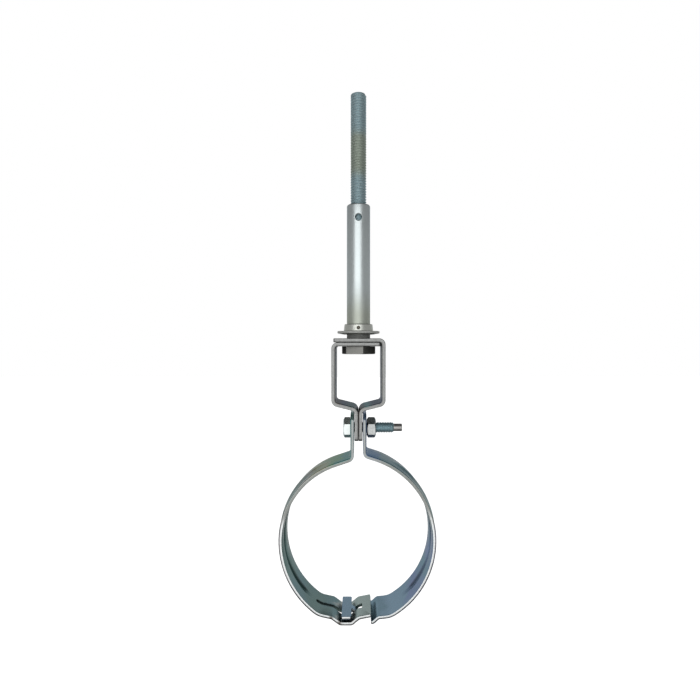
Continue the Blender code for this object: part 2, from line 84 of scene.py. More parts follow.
# Bends of at least the ring's least radius are divided by its step
BEND_STEP = math.radians(6)
RING_STEP = math.radians(1.5)
RING_LEAST = 20 * MM
OUTLINE_STEP = math.radians(11)
PROFILE_STEP = math.radians(18)
ROUND_STEPS = 4
BEAD_STRIPS = 16
HALVINGS = 40
ROUND_FACETS = 96
NUT_FACETS = 64
SMALL_FACETS = 48
STAKE_FACETS = 32
CUT_MARGIN = 1.0 * MM

# A thread's crest, flank and the run of its rounds, as shares of its pitch, and their fall, as
# a share of its depth
CREST = 0.22
FLANK = 0.30
ROUND_RUN = 0.06
ROUND_FALL = 0.12

# Small rounds and chamfers, and the flared mouths of holes in round sides
HEXAGON_ROUND = 0.25 * MM
HEXAGON_MARGIN = 0.1 * MM
SLEEVE_CHAMFERS = (0.6 * MM, 0.5 * MM)
NUT_CHAMFERS = (0.4 * MM, 0.4 * MM)
COLLAR_BORE_ROUND = 0.15 * MM
COLLAR_ROUND = 0.6 * MM
FLANGE_FILLET = 0.4 * MM
RIM_ROUND = 0.35 * MM
DOG_ROUND = 0.35 * MM
MOUTH_DEPTH = 0.35 * MM
MOUTH_FLARE = 0.5 * MM
MOUTH_RISE = 0.2 * MM
# The stake's dimple: its flat floor as a share of its width, the floor's rise to its wall, its
# mouth's rise, and what still counts as its surface
STAKE_FLAT = 0.75
STAKE_CROWN = 0.2 * MM
STAKE_RISE = 0.3 * MM
STAKE_MARGIN = 0.05 * MM
# Round of the slot's left end, as a share of its width there
TIP_ROUND = 0.475

# Depths of the fine relief in metres, and widths of the masks on a strap
GRAIN_DEPTH = 0.00002
LINE_DEPTH = 0.000015
SHEAR_DEPTH = 0.00004
SHEAR_SOFTNESS = 0.12 * MM
SIDE_SOFTNESS = 0.1 * MM
GROOVE_HALF = 1.5 * MM
# Where the painted shade of the bead's groove fades in and out, as shares of the strap's length
GROOVE_START = (0.20, 0.26)
GROOVE_END = (0.73, 0.78)

# Noise: how far it is stretched along each axis, and its scale
SLEEVE_LINES = ((1, 1, 0.03), 900.0)
STRAP_LINES = ((0.04, 1, 1), 1400.0)
SHEAR_LINES = ((1, 1, 0.2), 1500.0)
RAGGED_WAVE = ((1, 1, 0.2), 700.0)
COARSE_STRETCH = (0.3, 0.3, 0.3)


class Surface(NamedTuple):
    """A zinc surface: its tint at a grazing angle, its roughness, its grain and its patches."""

    edge_tint: tuple
    mottle: float
    roughness: float
    swing: float = 0.12
    grain: float = 1800.0
    drift: float = 0.0
    patch: float = 90.0


class Shear(NamedTuple):
    """A sheared edge: film and painted highlight on its two strips, and the border between them.
    """

    inner: tuple
    outer: tuple
    border: float
    ragged: float


GREY_TINT = (0.5, 0.5, 0.5)
BOLT_TINT = (0.6, 0.64, 0.66)
SHEAR_TINT = (0.85, 0.86, 0.88)
BRACKET_ZINC = Surface((0.34, 0.37, 0.40), 0.10, 0.36, swing=0.14, drift=0.05)
BAND_SHEAR = Surface(SHEAR_TINT, 0.4, 0.28, swing=0.2, grain=700.0)
PUNCHED = Surface(GREY_TINT, 0.3, 0.5)
SURFACES = {
    "rod_zinc": Surface((0.5, 0.56, 0.58), 0.12, 0.64, drift=0.06, patch=160.0),
    "sleeve_zinc": Surface((0.42, 0.44, 0.46), 0.14, 0.38, drift=0.08, patch=110.0),
    "collar_zinc": Surface(GREY_TINT, 0.14, 0.38),
    "flange_zinc": Surface((0.8, 0.8, 0.8), 0.3, 0.9, swing=0.15),
    "stake_hollow": Surface(GREY_TINT, 0.3, 0.5),
    "bracket_zinc_left": BRACKET_ZINC,
    "bracket_zinc_right": BRACKET_ZINC,
    "bracket_sheared": Surface(SHEAR_TINT, 0.7, 0.42, swing=0.2),
    "bracket_punched": PUNCHED,
    "band_zinc_left": Surface((0.42, 0.46, 0.46), 0.10, 0.27, swing=0.14, drift=0.18),
    "band_zinc_right": Surface((0.42, 0.46, 0.48), 0.10, 0.27, swing=0.14, drift=0.18),
    "band_sheared_left": BAND_SHEAR,
    "band_sheared_right": BAND_SHEAR,
    "band_punched": PUNCHED,
    "bolt_zinc": Surface(BOLT_TINT, 0.25, 0.24),
    "bolt_thread_zinc": Surface((0.5, 0.58, 0.60), 0.15, 0.6),
    "dog_zinc": Surface(GREY_TINT, 0.3, 0.4),
    "nut_zinc": Surface(BOLT_TINT, 0.6, 0.34),
}

# The tube's satin: where it dulls and how far, how softly its foot's colours start, and how
# rough the foot is at the neck and at the hexagon
SATIN_RANGE = (0.45, 0.75)
DULLED_SATIN = 0.56
FLANGE_SOFTNESS = 0.004
HEAD_SOFTNESS = 0.01
FOOT_ROUGHNESS = (0.85, 0.5)

# Bands of film, painted shade and painted light: a colour's name, and where it starts and ends,
# in thousandths of the length
FILMS = {
    "rod_zinc": (("rod", 0, 200), ("rod_warm", 280, 460), ("rod", 550, 1000)),
    # Painted shade: the bracket's inner faces are dark, with darker bands by the shoulder and the
    # tab bends
    "bracket_zinc_left": (("bracket", 0, 600), ("brown", 650, 690), ("dusk", 720),
                          ("deep", 770), ("bracket", 820, 1000)),
    "bracket_zinc_right": (("bracket", 0, 600), ("dusk", 660, 730), ("teal", 770),
                           ("brown", 810), ("bracket", 1000)),
    # Painted shade: the walls of the bracket's holes are near black
    "bracket_punched": (("slot_wall", 0, 1000),),
    "band_zinc_left": (("teal", 0, 170), ("green", 200), ("olive", 250), ("grey", 310),
                       ("moss", 380), ("grey", 440), ("deep", 480, 560), ("sea", 640),
                       # Painted light: the dip under the T-head is lighter grey, against the
                       # shadow there
                       ("lake", 720), ("sea", 800), ("lake", 860), ("grey", 900, 930),
                       ("moss", 950, 1000)),
    "band_zinc_right": (("blue", 0, 170), ("lake", 210, 280), ("moss", 340, 440),
                        ("slate", 490), ("violet", 580), ("slate", 640), ("violet", 700),
                        ("pale", 760, 840), ("slate", 880), ("pale", 940, 1000)),
    # Painted shade: the walls of the band's holes and slot are near black, the slot's right end
    # less dark
    "band_punched": (("slot_wall", 0, 855), ("deep", 875, 1000)),
}
SHEARS = {
    "bracket_sheared": Shear((("bracket_torn", 0, 1000),), (("bracket_edge", 0, 1000),),
                             -0.4 * MM, 0.8 * MM),
    # Painted highlight: the inner strip of the lower arcs' edges is painted bright, the upper
    # arcs' darker
    "band_sheared_left": Shear(
        (("ear_teal", 0, 10), ("ear_edge", 24, 138), ("arc_edge", 165, 440),
         ("band_edge", 490, 845), ("brown", 855), ("band_edge", 866, 876), ("brown", 888),
         ("band_edge", 902, 1000)),
        (("ear_teal", 0, 10), ("arc_edge", 24, 138), ("brown", 150), ("arc_edge", 165, 440),
         ("mauve", 500, 620), ("fracture", 720, 1000)), 0.15 * MM, 0.3 * MM),
    "band_sheared_right": Shear(
        (("ear_blue", 0, 10), ("ear_edge", 24, 160), ("arc_edge", 220, 400),
         ("band_edge", 480, 1000)),
        (("ear_blue", 0, 10), ("arc_edge", 24, 440), ("mauve", 500), ("brown", 620),
         ("fracture", 720, 1000)), 0.15 * MM, 0.3 * MM),
}

# Turns a shape drawn along Z to lie along X
ALONG_X = Matrix(((0, 0, 1, 0), (1, 0, 0, 0), (0, 1, 0, 0), (0, 0, 0, 1)))
# Turns a shape drawn along Z to face the front
ALONG_Y = Matrix.Rotation(math.radians(90), 4, "X")

# The studio in metres.  The floor mirrors as white where it lies behind the object, and the
# room is given by directions: from its walls up to its ceiling, and the backdrop's borders
WHITE = (1, 1, 1, 1)
FLOOR_SIZE = 12
FLOOR_GREY = (0.8, 0.8, 0.8, 1)
BEHIND = (0.9, 2.0)
ROOM_HEIGHTS = (0.05, 0.7)
BACKDROP_DEPTHS = (0.55, 0.85)
BACKDROP_HEIGHTS = (0.4, 0.75)
SOFTBOX_PLACE = Vector((-0.13, -0.94, -0.22))
SOFTBOX_TARGET = Vector((0, 0, -0.22))
SOFTBOX_SIZE = (1.25, 1.2)


def lengths(**rows):
    """Gives length properties from name=(millimetres, description) rows."""
    return {key: FloatProperty(name=key.replace("_", " ").title(), description=description,
                               default=size * MM, min=0.0, unit="LENGTH", subtype="DISTANCE",
                               precision=5)
            for key, (size, description) in rows.items()}


def bends(**rows):
    """Gives the bends of a strap from name=(place along X, height over the dip, inside radius,
    description) rows in millimetres."""
    return {key: FloatVectorProperty(name=key.replace("_", " ").title(), unit="LENGTH",
                                     description=description + ": place, height and radius",
                                     default=[size * MM for size in sizes], precision=5)
            for key, (*sizes, description) in rows.items()}


def angle(name, degrees, description):
    """Gives an angle property."""
    return FloatProperty(name=name, description=description, default=math.radians(degrees),
                         unit="ROTATION", subtype="ANGLE")


def colours(where, **rows):
    """Gives colour properties from name=colour rows, for one kind of place."""
    return {key: FloatVectorProperty(name=key.replace("_", " ").title(), default=colour,
                                     description=where + ": " + key.replace("_", " "),
                                     subtype="COLOR", size=3, min=0.0, max=1.0)
            for key, colour in rows.items()}


class RodSettings(bpy.types.PropertyGroup):
    """Sizes of the threaded rod."""

    __annotations__ = lengths(
        pitch=(1.5875, "Height of one turn of the thread"),
        depth=(0.66, "From the thread's crest down to its root"),
        chamfer=(0.7, "Chamfer at the rod's lower end"),
        burr=(0.15, "Dressed edge at the rod's sheared top"))
    segments: IntProperty(name="Segments", description="Facets in one turn", default=64, min=12)


class SleeveSettings(bpy.types.PropertyGroup):
    """Sizes of the sleeve nut and its collar."""

    __annotations__ = lengths(
        diameter=(14.0, "Outer diameter of the tube"),
        bore=(10.0, "Diameter of the bore over its thread's roots"),
        rim=(0.9, "Round of the tube's top rim"),
        flats=(18.0, "Width across the hexagon's flats"),
        head_height=(4.55, "Height of the hexagon"),
        sight_hole=(4.1, "Diameter of the hole that shows the rod's end"),
        sight_drop=(8.4, "From the tube's top down to the sight hole"),
        collar_top=(16.8, "Diameter of the collar's top"),
        collar_foot=(17.6, "Diameter of the collar above its flange"),
        collar_play=(0.3, "Gap between the collar and the tube"),
        flange_root=(2.0, "Thickness of the flange at the collar"),
        flange_rim=(1.3, "Thickness of the flange at its rim"),
        stake=(2.0, "Diameter of the stake's dimple"),
        stake_drop=(2.2, "From the collar's top down to the stake"),
        stake_depth=(1.1, "Depth of the stake's dimple"))
    head_turn: angle("Head Turn", -15, "Angle of a corner of the hexagon from +X")
    chamfer: angle("Chamfer", 30, "Slope of the hexagon's chamfered corners")
    face: FloatProperty(name="Face", description="Chamfered face, as a share of the flats",
                        default=1.08)


class StrapSettings(bpy.types.PropertyGroup):
    """Sizes of the bracket's two straps."""

    __annotations__ = lengths(
        thickness=(2.3, "Thickness of the strap"),
        top_bend=(1.4, "Inside radius where the leg turns down"),
        shoulder_bend=(1.9, "Inside radius at the wall's foot"),
        tab_bend=(2.2, "Inside radius where the tab turns down"),
        shoulder_drop=(34.4, "From the lower leg to the shoulder"),
        plate_play=(0.25, "Gap between the plates that the bolt holds"),
        contact=(0.04, "Gap where the two straps lie on each other"),
        sleeve_play=(0.3, "Gap between a strap and the sleeve"),
        tab_corner=(2.0, "Round of the tab's corners"),
        end_corner=(1.1, "Round of the corners over the sleeve"),
        bolt_hole=(6.95, "Diameter of the holes for the bolt"),
        edge=(0.4, "Round of the sheet's inner edges"),
        rollover=(0.5, "Round that shearing leaves on the outer edges"))
    shoulder_slope: angle("Shoulder Slope", 14, "Slope of the shoulder")


class BandSettings(bpy.types.PropertyGroup):
    """Sizes of the two half bands."""

    __annotations__ = lengths(
        thickness=(2.0, "Thickness of the band"),
        ear_corner=(5.1, "Round of the ears' corners"),
        ear_bend=(2.0, "Inside radius between ear and ring"),
        ring_drop=(64.3, "From the bolt down to the ring's widest line"),
        left_reach=(44.4, "Inside, from the centre plane to the left"),
        left_upper=(45.6, "Inside radius above the widest line"),
        left_lower=(50.7, "Inside radius below the widest line"),
        left_start=(13.5, "The roll's upper end from the centre"),
        left_end=(27.0, "The roll's lower end from the centre"),
        left_lead=(4.42, "Straight from the roll to the run's bend"),
        right_reach=(43.2, "Inside, from the centre plane to the right"),
        right_upper=(49.0, "Inside radius above the widest line"),
        right_lower=(48.4, "Inside radius below the widest line"),
        right_start=(9.0, "The roll's upper end from the centre"),
        right_end=(22.0, "The roll's lower end from the centre"),
        right_lead=(3.95, "Straight from the roll to the run's bend"),
        run_bend=(11.0, "Inside radius where the ring flattens out"),
        hole_rise=(1.0, "Half the right hole's extra height"),
        bead_width=(8.0, "Width of the pressed bead"),
        bead_height=(0.9, "Height of the pressed bead"),
        bead_run_out=(4.0, "Length over which the bead fades"),
        bead_rise=(10.0, "Length over which the bead grows at its top"),
        bead_top=(17.0, "The bead's upper end from the centre plane"),
        bead_foot=(29.5, "The bead's lower end from the centre plane"),
        edge=(0.2, "Round of the sheet's inner edges"),
        rollover=(0.5, "Round that shearing leaves on the outer edges"))


class HookSettings(bpy.types.PropertyGroup):
    """Sizes of the hook joint under the pipe."""

    __annotations__ = lengths(
        slot_left=(26.0, "Left end of the slot, left of the centre"),
        slot_right=(2.3, "Right end of the slot, right of the centre"),
        slot_width=(5.0, "Width of the slot where the neck lies"),
        slot_tip=(3.5, "Width of the slot at its left end"),
        slot_narrow=(14.5, "Where the slot widens, left of the centre"),
        slot_full=(9.5, "Where its full width starts, left of the centre"),
        shoulder=(7.2, "Where the right band's full width ends"),
        neck_width=(4.4, "Width of the neck in the slot"),
        corner=(0.7, "Round of the head's and the neck's corners"),
    ) | bends(
        mouth=(-15.4, 3.5, 1.2, "Where the left band starts to dip"),
        dip_left=(-10.6, 0, 1.2, "Left end of the dip's floor"),
        dip_right=(-3.9, 0, 1.2, "Right end of the dip's floor"),
        crest=(0.2, 3.4, 2.2, "The left band's crest"),
        lip=(7.4, 4.8, 0, "The left band's lip"),
        run_in=(11.5, 3.55, 1.2, "Where the right band starts to fall"),
        fall_end=(8.5, 0.8, 1.2, "Where the right band's fall ends"),
        neck_foot=(0.4, 0.5, 1.2, "Low end of the neck"),
        head_right=(-4.4, 3.3, 0.6, "Right side of the head"),
        head_left=(-9.9, 3.3, 0, "Left side of the head"))


class ClampSettings(bpy.types.PropertyGroup):
    """Sizes of the clamp bolt and its nut."""

    __annotations__ = lengths(
        diameter=(6.35, "Diameter over the thread"),
        pitch=(1.0, "Height of one turn of the thread"),
        depth=(0.45, "From the thread's crest down to its root"),
        flats=(11.0, "Width across the flats of the head and the nut"),
        head=(4.2, "Height of the bolt's head"),
        dog=(4.5, "Diameter of the plain point"),
        dog_length=(5.0, "Length of the plain point"),
        play=(0.3, "Gap between the nut and the bolt"))
    turn: angle("Turn", 25, "Angle of the front corner above level")
    chamfer: angle("Chamfer", 30, "Slope of the chamfered corners")
    face: FloatProperty(name="Face", description="Chamfered face, as a share of the flats",
                        default=0.86)
    segments: IntProperty(name="Segments", description="Facets in one turn", default=48, min=12)


class FinishSettings(bpy.types.PropertyGroup):
    """Colours of the zinc plating and its film, and of painted shade, reflection and highlight.
    """

    __annotations__ = {
        **colours("Zinc on the rod", rod=(0.43, 0.545, 0.575), rod_warm=(0.45, 0.50, 0.44)),
        **colours("Zinc on the sleeve and its collar", sleeve=(0.64, 0.70, 0.705),
                  # Painted reflection: the tube's darker, warmer colour low down
                  sleeve_warm=(0.54, 0.575, 0.51), sleeve_neck=(0.38, 0.385, 0.375),
                  sleeve_foot=(0.25, 0.25, 0.235), collar=(0.66, 0.68, 0.63),
                  flange=(0.64, 0.65, 0.63), hollow=(0.16, 0.15, 0.125)),
        **colours("Zinc on the bolt and its nut", bolt=(0.66, 0.70, 0.69),
                  bolt_thread=(0.34, 0.48, 0.52), dog=(0.36, 0.355, 0.345),
                  nut=(0.45, 0.465, 0.46)),
        **colours("Film on a strap's faces", teal=(0.13, 0.26, 0.26), green=(0.19, 0.30, 0.20),
                  olive=(0.33, 0.335, 0.25), grey=(0.40, 0.405, 0.39), moss=(0.31, 0.37, 0.36),
                  sea=(0.15, 0.205, 0.20), deep=(0.09, 0.135, 0.125), blue=(0.11, 0.17, 0.28),
                  slate=(0.18, 0.26, 0.31), lake=(0.155, 0.22, 0.235), dusk=(0.085, 0.095, 0.125),
                  pale=(0.21, 0.29, 0.36), violet=(0.20, 0.24, 0.36), brown=(0.11, 0.095, 0.085),
                  mauve=(0.30, 0.27, 0.28)),
        # Painted shade: the bracket's inner faces are darkened for the shade inside it; its outer
        # faces have the zinc's own colour
        **colours("Zinc on a strap's faces", bracket=(0.13, 0.135, 0.13),
                  # Painted shade: the grooves' dark colours stand for the shade in the bead's
                  # crease
                  bracket_outer=(0.42, 0.43, 0.42), left_groove=(0.035, 0.06, 0.058),
                  right_groove=(0.12, 0.16, 0.23)),
        **colours("Zinc on a strap's edges", bracket_edge=(0.27, 0.275, 0.27),
                  bracket_torn=(0.19, 0.19, 0.185), ear_teal=(0.30, 0.48, 0.44),
                  ear_blue=(0.20, 0.32, 0.50), ear_edge=(0.27, 0.285, 0.285),
                  # Painted highlight: the bright colour of the bands' lower edges
                  arc_edge=(0.21, 0.22, 0.21), band_edge=(0.62, 0.64, 0.64),
                  # Painted shade: the near-black colour of the walls inside holes and the slot
                  fracture=(0.05, 0.042, 0.038), slot_wall=(0.02, 0.03, 0.03)),
    }


class StageSettings(bpy.types.PropertyGroup):
    """Camera, lamps and floor."""

    camera: FloatVectorProperty(name="Camera", description="Place of the camera",
                                default=(0.0006, -0.321, -0.1503), subtype="TRANSLATION",
                                unit="LENGTH", size=3, precision=4)
    lens: FloatProperty(name="Lens", description="Focal length in millimetres", default=27.41)
    shift: FloatVectorProperty(name="Shift", description="Camera shift", size=2, precision=5,
                               default=(-0.01357, -0.00714))
    floor_drop: FloatProperty(name="Floor Drop", default=0.9, unit="LENGTH",
                              description="From the rod's top down to the floor")
    key: FloatProperty(name="Key", description="Power of the front softbox", default=6.2,
                       unit="POWER")
    horizon: FloatProperty(name="Horizon", description="Brightness of the room", default=0.48)
    zenith: FloatProperty(name="Zenith", description="Brightness of the ceiling", default=0.13)


# Shader building


def new_group(name, inputs, outputs):
    """Makes a shader node group from its inputs' defaults and its outputs' names."""
    group = bpy.data.node_groups.new(name, "ShaderNodeTree")
    for label, default in inputs.items():
        kind = "Float" if isinstance(default, float) else {3: "Vector", 4: "Color"}[len(default)]
        socket = group.interface.new_socket(label, in_out="INPUT",
                                            socket_type="NodeSocket" + kind)
        socket.default_value = default
    for label in outputs:
        kind = "Color" if label == "Color" else "Float"
        group.interface.new_socket(label, in_out="OUTPUT", socket_type="NodeSocket" + kind)
    entry = group.nodes.new("NodeGroupInput")
    result = group.nodes.new("NodeGroupOutput")
    return group, entry.outputs, result.inputs


def feed(tree, socket, value):
    """Links a socket into another, or sets the other to a plain value."""
    if isinstance(value, bpy.types.NodeSocket):
        tree.links.new(value, socket)
    elif socket.type == "RGBA":
        socket.default_value = (*value[:3], 1.0)
    else:
        socket.default_value = value


def math_node(tree, operation, first, second=0.0, third=0.0, clamp=False):
    """Adds a math node whose inputs are sockets or numbers, and gives its output."""
    node = tree.nodes.new("ShaderNodeMath")
    node.operation = operation
    node.use_clamp = clamp
    for socket, value in zip(node.inputs, (first, second, third)):
        feed(tree, socket, value)
    return node.outputs[0]


def ramp(tree, value, low, high, start=0.0, end=1.0):
    """Maps a value smoothly from the range low to high onto start to end."""
    node = tree.nodes.new("ShaderNodeMapRange")
    node.interpolation_type = "SMOOTHSTEP"
    for name, amount in (("Value", value), ("From Min", low), ("From Max", high),
                         ("To Min", start), ("To Max", end)):
        feed(tree, node.inputs[name], amount)
    return node.outputs["Result"]


def blend_colour(tree, factor, first, second):
    """Mixes two colours, each a socket or a value."""
    node = tree.nodes.new("ShaderNodeMix")
    node.data_type = "RGBA"
    sockets = [socket for socket in node.inputs if socket.type == "RGBA"]
    feed(tree, node.inputs["Factor"], factor)
    feed(tree, sockets[0], first)
    feed(tree, sockets[1], second)
    return [socket for socket in node.outputs if socket.type == "RGBA"][0]


def axis_of(tree, vector, axis):
    """Gives one component of a vector."""
    node = tree.nodes.new("ShaderNodeSeparateXYZ")
    tree.links.new(vector, node.inputs["Vector"])
    return node.outputs[axis]


def stretched_noise(tree, vector, stretch, scale, detail=3.0):
    """Adds a noise texture over a stretched vector, and gives its value about zero."""
    scaled = tree.nodes.new("ShaderNodeVectorMath")
    scaled.operation = "MULTIPLY"
    feed(tree, scaled.inputs[0], vector)
    feed(tree, scaled.inputs[1], stretch)
    node = tree.nodes.new("ShaderNodeTexNoise")
    tree.links.new(scaled.outputs["Vector"], node.inputs["Vector"])
    feed(tree, node.inputs["Scale"], scale)
    feed(tree, node.inputs["Detail"], detail)
    return math_node(tree, "SUBTRACT", node.outputs["Fac"], 0.5)


def drift_group():
    """Film drift: lets a place on the zinc wander, so that bands of film have soft borders."""
    group, entry, result = new_group(
        "Film Drift", {"Vector": (0, 0, 0), "Place": 0.5, "Drift": 0.2, "Patch Scale": 90.0},
        ["Place"])
    cloud = stretched_noise(group, entry["Vector"], (1, 1, 1), entry["Patch Scale"])
    moved = math_node(group, "MULTIPLY_ADD", cloud, entry["Drift"], entry["Place"])
    feed(group, result["Place"], moved)


def grain_group():
    """Plating grain: fine mottle of the zinc's brightness, its roughness and its relief."""
    group, entry, result = new_group(
        "Plating Grain", {"Vector": (0, 0, 0), "Color": WHITE, "Mottle": 0.1,
                          "Grain Scale": 1800.0, "Roughness": 0.3, "Roughness Swing": 0.1},
        ["Color", "Roughness", "Height"])
    fine = stretched_noise(group, entry["Vector"], (1, 1, 1), entry["Grain Scale"])
    coarse = stretched_noise(group, entry["Vector"], COARSE_STRETCH, entry["Grain Scale"], 2.0)
    both = math_node(group, "ADD", fine, coarse)
    shade = group.nodes.new("ShaderNodeVectorMath")
    shade.operation = "SCALE"
    feed(group, shade.inputs[0], entry["Color"])
    feed(group, shade.inputs["Scale"], math_node(group, "MULTIPLY_ADD", both, entry["Mottle"],
                                                 1.0))
    feed(group, result["Color"], shade.outputs["Vector"])
    feed(group, result["Roughness"], math_node(group, "MULTIPLY_ADD", coarse,
                                               entry["Roughness Swing"], entry["Roughness"],
                                               clamp=True))
    feed(group, result["Height"], fine)


def lines_group():
    """Drawn lines: the faint lines that rolls and dies leave along the metal."""
    group, entry, result = new_group(
        "Drawn Lines", {"Vector": (0, 0, 0), "Stretch": (1, 1, 1), "Line Scale": 900.0},
        ["Height"])
    lines = stretched_noise(group, entry["Vector"], entry["Stretch"], entry["Line Scale"])
    feed(group, result["Height"], lines)


def shear_group():
    """Sheared edge: a mask of the sheet's outer strip, whose border is ragged."""
    group, entry, result = new_group(
        "Sheared Edge", {"Vector": (0, 0, 0), "Border": 0.0, "Ragged": 0.0003}, ["Torn"])
    wave = stretched_noise(group, entry["Vector"], *RAGGED_WAVE)
    moved = math_node(group, "MULTIPLY_ADD", wave, entry["Ragged"],
                      axis_of(group, entry["Vector"], "Z"))
    start = math_node(group, "SUBTRACT", entry["Border"], SHEAR_SOFTNESS)
    end = math_node(group, "ADD", entry["Border"], SHEAR_SOFTNESS)
    feed(group, result["Torn"], ramp(group, moved, start, end))


def sides_group():
    """Strap sides: masks of the inner face, and of the bead's groove, where its shade is painted.
    """
    group, entry, result = new_group(
        "Strap Sides", {"Vector": (0, 0, 0), "Groove": GROOVE_HALF}, ["Inner", "Groove"])
    inner = ramp(group, axis_of(group, entry["Vector"], "Z"), -SIDE_SOFTNESS, SIDE_SOFTNESS,
                 1.0, 0.0)
    across = math_node(group, "ABSOLUTE", axis_of(group, entry["Vector"], "Y"))
    border = math_node(group, "MULTIPLY", entry["Groove"], 2.0)
    line = ramp(group, across, entry["Groove"], border, 1.0, 0.0)
    feed(group, result["Inner"], inner)
    feed(group, result["Groove"], math_node(group, "MULTIPLY", inner, line))


class Metal:
    """A zinc plated metal in the making: its node tree, its shader and its coordinates."""

    def __init__(self, name):
        self.surface = SURFACES[name]
        self.material = bpy.data.materials.new(name)
        self.material.use_nodes = True
        self.tree = self.material.node_tree
        self.inputs = self.tree.nodes["Principled BSDF"].inputs
        self.inputs["Metallic"].default_value = 1.0
        self.inputs["Specular Tint"].default_value = (*self.surface.edge_tint, 1.0)
        self.place = self.tree.nodes.new("ShaderNodeTexCoord").outputs["Object"]

    def group(self, name, **values):
        """Places a node group with its own values, and gives its outputs."""
        node = self.tree.nodes.new("ShaderNodeGroup")
        node.node_tree = bpy.data.node_groups[name]
        for label, value in values.items():
            feed(self.tree, node.inputs[label.replace("_", " ")], value)
        return node.outputs

    def attribute(self, name, output):
        """Reads an attribute of a strap: its place on the flat blank, or its share along it."""
        node = self.tree.nodes.new("ShaderNodeAttribute")
        node.attribute_name = name
        return node.outputs[output]

    def wander(self, share):
        """Lets a share of the piece's length wander with the patches of its film."""
        return self.group("Film Drift", Vector=self.place, Place=share,
                          Drift=self.surface.drift, Patch_Scale=self.surface.patch)["Place"]

    def bands(self, share, film):
        """Colours a share of the piece's length with bands of film or of painted shade and light.
        """
        colours = bpy.context.scene.hanger_finish
        stops = [(stop / 1000, getattr(colours, name)) for name, *stops in film
                 for stop in stops]
        node = self.tree.nodes.new("ShaderNodeValToRGB")
        node.color_ramp.interpolation = "EASE"
        elements = node.color_ramp.elements
        while len(elements) < len(stops):
            elements.new(0.5)
        for element, (position, tint) in zip(elements, stops):
            element.position = position
            element.color = (*tint, 1.0)
        feed(self.tree, node.inputs["Fac"], share)
        return node.outputs["Color"]

    def lines(self, vector, stretch, scale):
        """Gives the height of drawn lines over a vector."""
        return self.group("Drawn Lines", Vector=vector, Stretch=stretch,
                          Line_Scale=scale)["Height"]

    def bump(self, height, depth, normal=None):
        """Adds a relief to a normal."""
        node = self.tree.nodes.new("ShaderNodeBump")
        node.inputs["Distance"].default_value = depth
        feed(self.tree, node.inputs["Height"], height)
        if normal is not None:
            feed(self.tree, node.inputs["Normal"], normal)
        return node.outputs["Normal"]

    def finish(self, tint, roughness=None, lines=None, depth=LINE_DEPTH):
        """Gives the metal its colour, its grain and its lines, and gives the material."""
        surface = self.surface
        grain = self.group("Plating Grain", Vector=self.place, Color=tint,
                           Mottle=surface.mottle, Grain_Scale=surface.grain,
                           Roughness=surface.roughness if roughness is None else roughness,
                           Roughness_Swing=surface.swing)
        feed(self.tree, self.inputs["Base Color"], grain["Color"])
        feed(self.tree, self.inputs["Roughness"], grain["Roughness"])
        normal = self.bump(grain["Height"], GRAIN_DEPTH)
        if lines is not None:
            normal = self.bump(lines, depth, normal)
        feed(self.tree, self.inputs["Normal"], normal)
        return self.material


def plain_material(name, tint):
    """Zinc of one colour."""
    return Metal(name).finish(tint)


def rod_material():
    """Blue zinc on a rolled thread, with a warm film over its middle."""
    metal = Metal("rod_zinc")
    height = math_node(metal.tree, "MULTIPLY", axis_of(metal.tree, metal.place, "Z"),
                       1 / ROD_LOW.z)
    return metal.finish(metal.bands(metal.wander(height), FILMS["rod_zinc"]))


def sleeve_material():
    """Satin zinc on a drawn tube: fine lines, a painted warm reflection low down, a dark, rough
    foot.
    """
    colours = bpy.context.scene.hanger_finish
    metal = Metal("sleeve_zinc")
    tree = metal.tree
    tall = SLEEVE_HIGH.z - SLEEVE_LOW.z
    height = math_node(tree, "MULTIPLY_ADD", axis_of(tree, metal.place, "Z"), -1 / tall,
                       SLEEVE_HIGH.z / tall)
    wandered = metal.wander(height)
    flange = (SLEEVE_HIGH.z - COLLAR_LOW.z) / tall
    head = (SLEEVE_HIGH.z - LEFT_HIGH.z) / tall
    # Painted reflection: the tube turns darker and warmer towards the collar
    tint = metal.bands(wandered, (("sleeve", 0, 550),
                                  ("sleeve_warm", 1000 * flange - 100, 1000 * flange - 40)))
    below = ramp(tree, height, flange - FLANGE_SOFTNESS, flange + FLANGE_SOFTNESS)
    lowest = ramp(tree, height, head, head + HEAD_SOFTNESS)
    # Below the flange the tube is darker, and darker again on the hexagon
    darker_foot = blend_colour(tree, lowest, colours.sleeve_neck, colours.sleeve_foot)
    satin = ramp(tree, wandered, *SATIN_RANGE, metal.surface.roughness, DULLED_SATIN)
    dulled = ramp(tree, lowest, 0, 1, *FOOT_ROUGHNESS)
    above = math_node(tree, "SUBTRACT", 1.0, below)
    roughness = math_node(tree, "ADD", math_node(tree, "MULTIPLY", satin, above),
                          math_node(tree, "MULTIPLY", dulled, below))
    return metal.finish(blend_colour(tree, below, tint, darker_foot), roughness,
                        metal.lines(metal.place, *SLEEVE_LINES))


